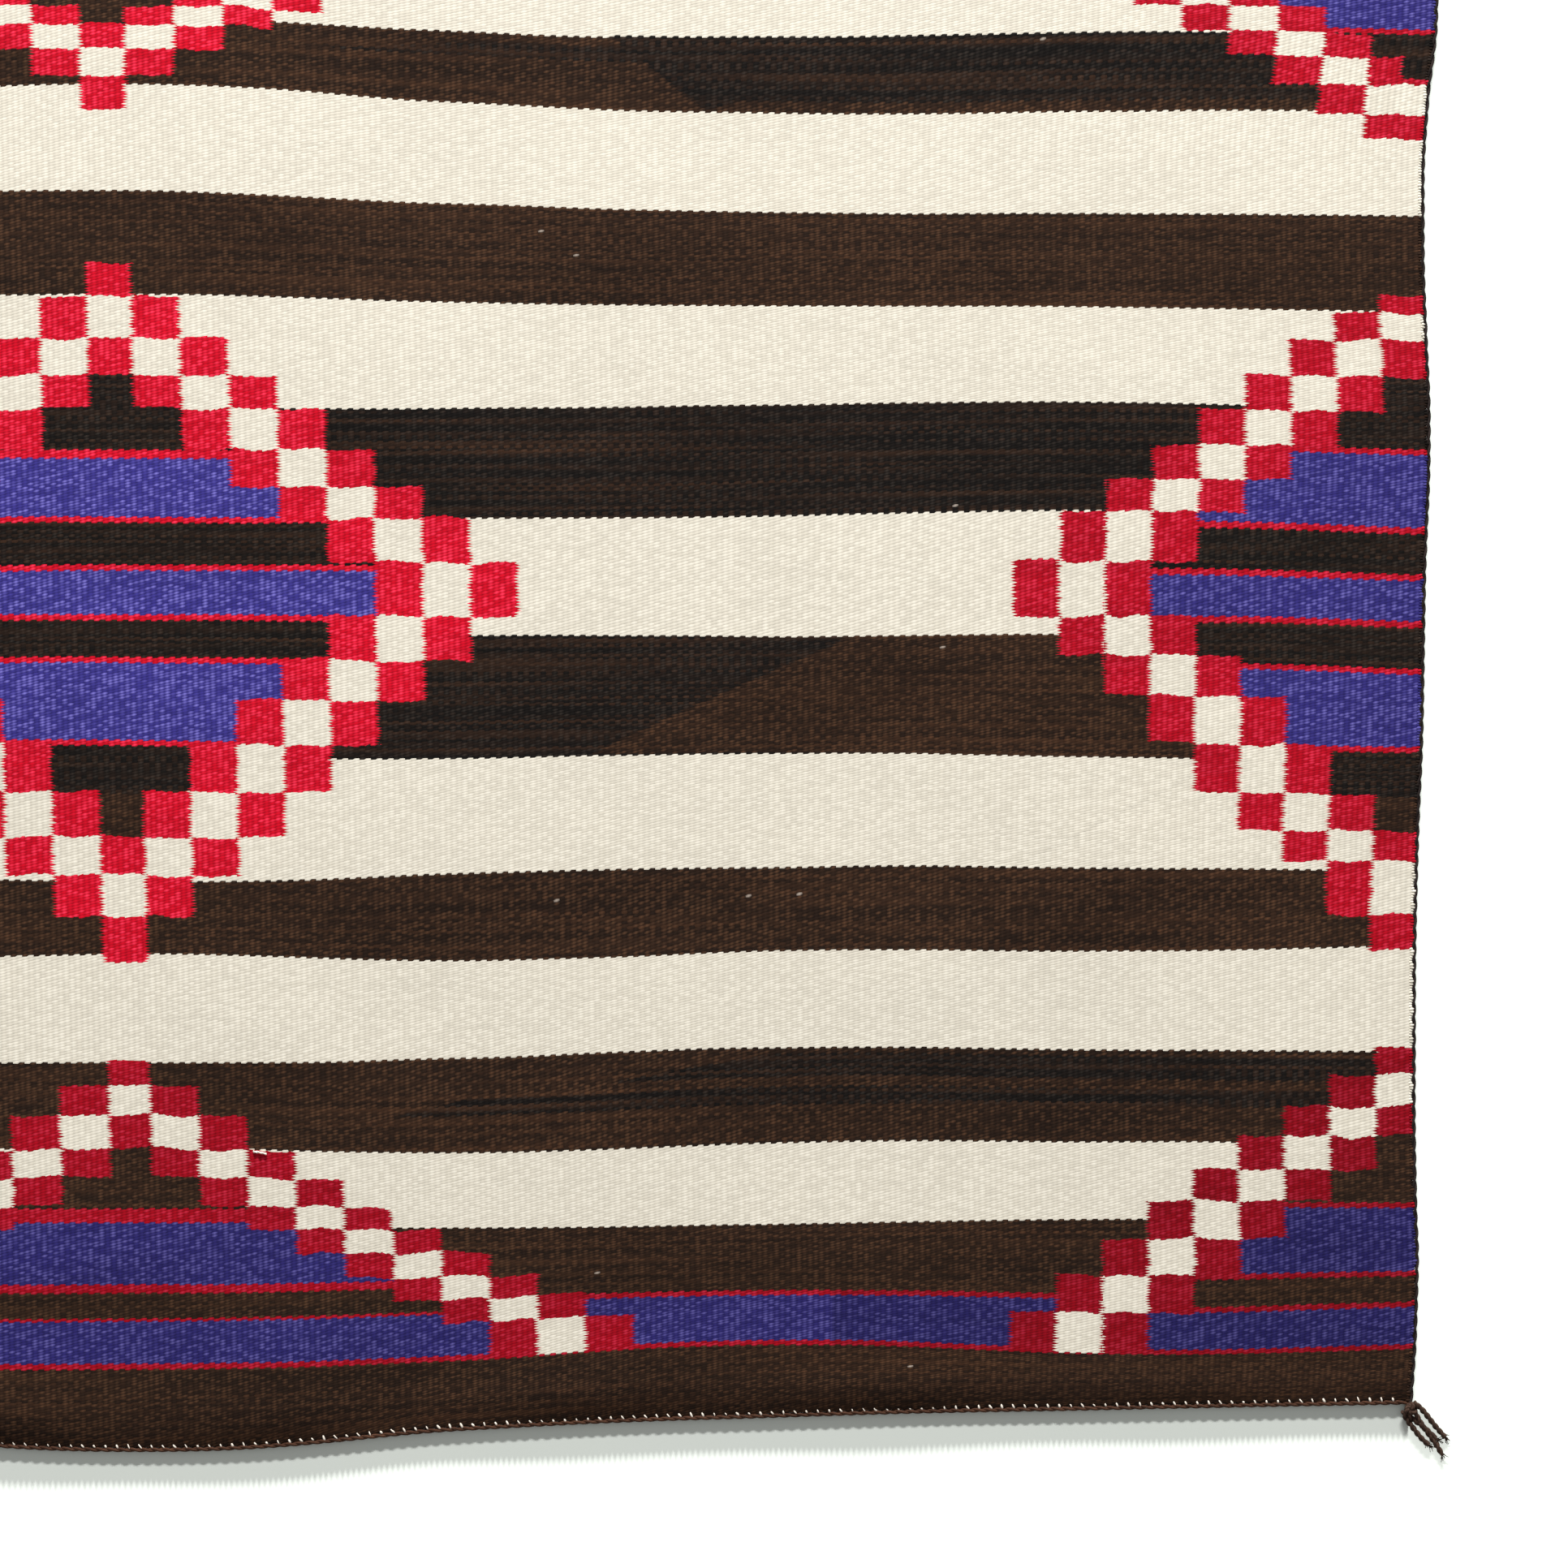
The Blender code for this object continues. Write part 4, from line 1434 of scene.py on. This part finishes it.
class BLANKET_OT_tie_tassels(Operator):
    """Knot the cords at the corners and leave their strands loose and frayed"""

    bl_idname = "blanket.tie_tassels"
    bl_label = "Tie Tassels"

    def execute(self, context):
        wool = spun_wool(context, TASSEL_WOOL)
        cords = context.scene.blanket_cords
        for number, tassel in enumerate(TASSELS):
            draw = np.random.default_rng(TASSEL_SEED + number)
            strands, fibres = [(to_corner(knot_line(), tassel), KNOT_THICKNESS)], []
            for strand in STRANDS:
                line, thickness = strand_line(strand, tassel, draw)
                line = to_corner(line, tassel)
                strands.append((line, thickness))
                fibres += fray_lines(line, draw)
            tied = twist_yarn("strands", strands, TASSEL_PLIES, cords.tassel_twist, wool)
            fray = twist_yarn("fray", fibres, FRAY_PLIES, cords.tassel_twist, wool)
            declare(join_meshes(f"knotted_{tassel.name}", [tied, fray]), "tassel_wool", tassel.name)
        return {"FINISHED"}


TAIL_PLACE = (84 * MM, -375 * MM)  # where a white weft's end was left out, on the loom
TAIL_LENGTH = 9 * MM
TAIL_POINTS = 9
TAIL_BEND = 1.5 * MM
TAIL_LIFT, TAIL_ARCH, TAIL_ARCH_TURN = 0.2 * MM, 0.9 * MM, 2.4  # over the cloth; the turn in radians
TAIL_TWIST = 6 * MM
TAIL_TIP_SHARE = 0.6


class BLANKET_OT_leave_yarn_tail(Operator):
    """Leave out the white yarn's end that shows below the middle diamond"""

    bl_idname = "blanket.leave_yarn_tail"
    bl_label = "Leave Yarn Tail"

    def execute(self, context):
        wool = spun_wool(context, WARP_LOOP_WOOL)
        start = cloth_plan([TAIL_PLACE[0]], [TAIL_PLACE[1]])[0, 0] + SHIFT
        share = np.linspace(0, 1, TAIL_POINTS)
        plan = np.column_stack([start[0] + TAIL_LENGTH * share, start[1] - TAIL_BEND * share**2])
        line = raised(plan, CLOTH_THICKNESS + TAIL_LIFT + TAIL_ARCH * np.sin(share * TAIL_ARCH_TURN))
        thickness = np.linspace(1, TAIL_TIP_SHARE, TAIL_POINTS)
        tail = twist_yarn("yarn_tail", [(line, thickness)], TAIL_PLIES, TAIL_TWIST, wool)
        declare(tail, "cloth_wool")
        return {"FINISHED"}


# The camera hangs straight over this place on the loom, and its square frame covers this much of the floor
VIEW_CENTRE = (0.4509, -0.1287)
VIEW_SPAN = 1.0565
SENSOR = 36  # mm
CLIP_NEAR, CLIP_FAR = 0.1, 30

# The floor's reach from the middle, and how far it lies below the cloth so that the two don't share a face
FLOOR_REACH = 6.0
FLOOR_DROP = 0.4 * MM

# The light of the bright room, and of a wide soft box beyond the top end that throws the short shadow
ROOM_LIGHT = 0.38
BOX_PLACE = (0.45, 6.0, 2.35)
BOX_POWER = 770
BOX_SIZE = (2.2, 0.3)

# A low light for the floor only, which throws the wider, paler shadow beyond the cloth's lower end
RAKE_SHARE = 0.8
RAKE_HEIGHT = math.radians(6.8)
RAKE_SPREAD = math.radians(2.2)


def add_light(name, kind, energy, place, target, **settings):
    light = bpy.data.lights.new(name, kind)
    light.energy = energy
    for label, setting in settings.items():
        setattr(light, label, setting)
    lamp = bpy.data.objects.new(name, light)
    lamp.location = place
    lamp.rotation_euler = (Vector(target) - Vector(place)).to_track_quat("-Z", "Y").to_euler()
    bpy.context.scene.collection.objects.link(lamp)
    return lamp


class BLANKET_OT_set_stage(Operator):
    """Set the pale floor, the light and the camera"""

    bl_idname = "blanket.set_stage"
    bl_label = "Set Stage"

    def execute(self, context):
        settings = context.scene.blanket_stage
        reach = FLOOR_REACH
        corners = ((-reach, -reach), (reach, -reach), (reach, reach), (-reach, reach))
        mesh = bpy.data.meshes.new("floor")
        mesh.from_pydata([(x, y, -FLOOR_DROP) for x, y in corners], [], [(0, 1, 2, 3)])
        floor_material, _, shader = new_material("floor_paint", Roughness=0.9, Specular_IOR_Level=0.1)
        shader.inputs["Base Color"].default_value = (*settings.floor, 1.0)
        floor = add_object("floor", mesh, floor_material)
        floor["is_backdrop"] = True

        world = bpy.data.worlds.new("room")
        world.use_nodes = True
        room = world.node_tree.nodes["Background"]
        room.inputs["Color"].default_value = (1.0, 1.0, 1.0, 1.0)
        room.inputs["Strength"].default_value = ROOM_LIGHT * settings.fill_energy
        context.scene.world = world
        add_light(
            "soft_box", "AREA", BOX_POWER * settings.key_energy, BOX_PLACE, (BOX_PLACE[0], 0, 0),
            shape="RECTANGLE", size=BOX_SIZE[0], size_y=BOX_SIZE[1],
        )
        rake_power = math.pi * RAKE_SHARE / math.sin(RAKE_HEIGHT) * settings.key_energy
        rake = add_light(
            "floor_rake", "SUN", rake_power, (0, math.cos(RAKE_HEIGHT), math.sin(RAKE_HEIGHT)), (0, 0, 0),
            angle=RAKE_SPREAD,
        )
        lit_by_rake, shaded_by_web = (bpy.data.collections.new(name) for name in ("floor_only", "web_only"))
        lit_by_rake.objects.link(floor)
        shaded_by_web.objects.link(bpy.data.objects["woven_web"])
        rake.light_linking.receiver_collection = lit_by_rake
        rake.light_linking.blocker_collection = shaded_by_web

        scene = context.scene
        scene.view_settings.view_transform = "Standard"
        lens = bpy.data.cameras.new("camera")
        lens.sensor_width, lens.lens = SENSOR, settings.lens
        lens.clip_start, lens.clip_end = CLIP_NEAR, CLIP_FAR
        camera = bpy.data.objects.new("camera", lens)
        camera.location = (*(SHIFT + VIEW_CENTRE), CLOTH_THICKNESS + VIEW_SPAN * settings.lens / SENSOR)
        scene.collection.objects.link(camera)
        scene.camera = camera
        return {"FINISHED"}


class BLANKET_PT_pieces(Panel):
    """The blanket's pieces and their settings"""

    bl_idname = "BLANKET_PT_pieces"
    bl_label = "Blanket"
    bl_space_type = "VIEW_3D"
    bl_region_type = "UI"
    bl_category = "Blanket"

    def draw(self, context):
        for group, title, _ in SETTINGS:
            box = self.layout.box()
            box.label(text=title)
            values = getattr(context.scene, group)
            for name in values.__annotations__:
                box.prop(values, name)
        for operator in OPERATORS:
            self.layout.operator(operator.bl_idname)


SETTINGS = (
    ("blanket_weave", "Weave", WeaveSettings),
    ("blanket_cords", "Cords", CordSettings),
    ("blanket_stage", "Stage", StageSettings),
)
OPERATORS = (
    BLANKET_OT_weave_web,
    BLANKET_OT_twist_side_cords,
    BLANKET_OT_twist_end_cords,
    BLANKET_OT_set_warp_loops,
    BLANKET_OT_turn_wefts,
    BLANKET_OT_tie_tassels,
    BLANKET_OT_leave_yarn_tail,
    BLANKET_OT_set_stage,
)
CLASSES = tuple(kind for _, _, kind in SETTINGS) + OPERATORS + (BLANKET_PT_pieces,)


def register():
    for kind in CLASSES:
        bpy.utils.register_class(kind)
    for group, _, kind in SETTINGS:
        setattr(bpy.types.Scene, group, PointerProperty(type=kind))


def unregister():
    for group, _, _ in SETTINGS:
        delattr(bpy.types.Scene, group)
    for kind in reversed(CLASSES):
        bpy.utils.unregister_class(kind)


def main():
    register()
    for operator in OPERATORS:
        getattr(bpy.ops.blanket, operator.bl_idname.split(".")[1])()
    web = bpy.data.objects["woven_web"]
    others = [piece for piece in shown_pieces() if piece != web]


if __name__ == "__main__":
    main()
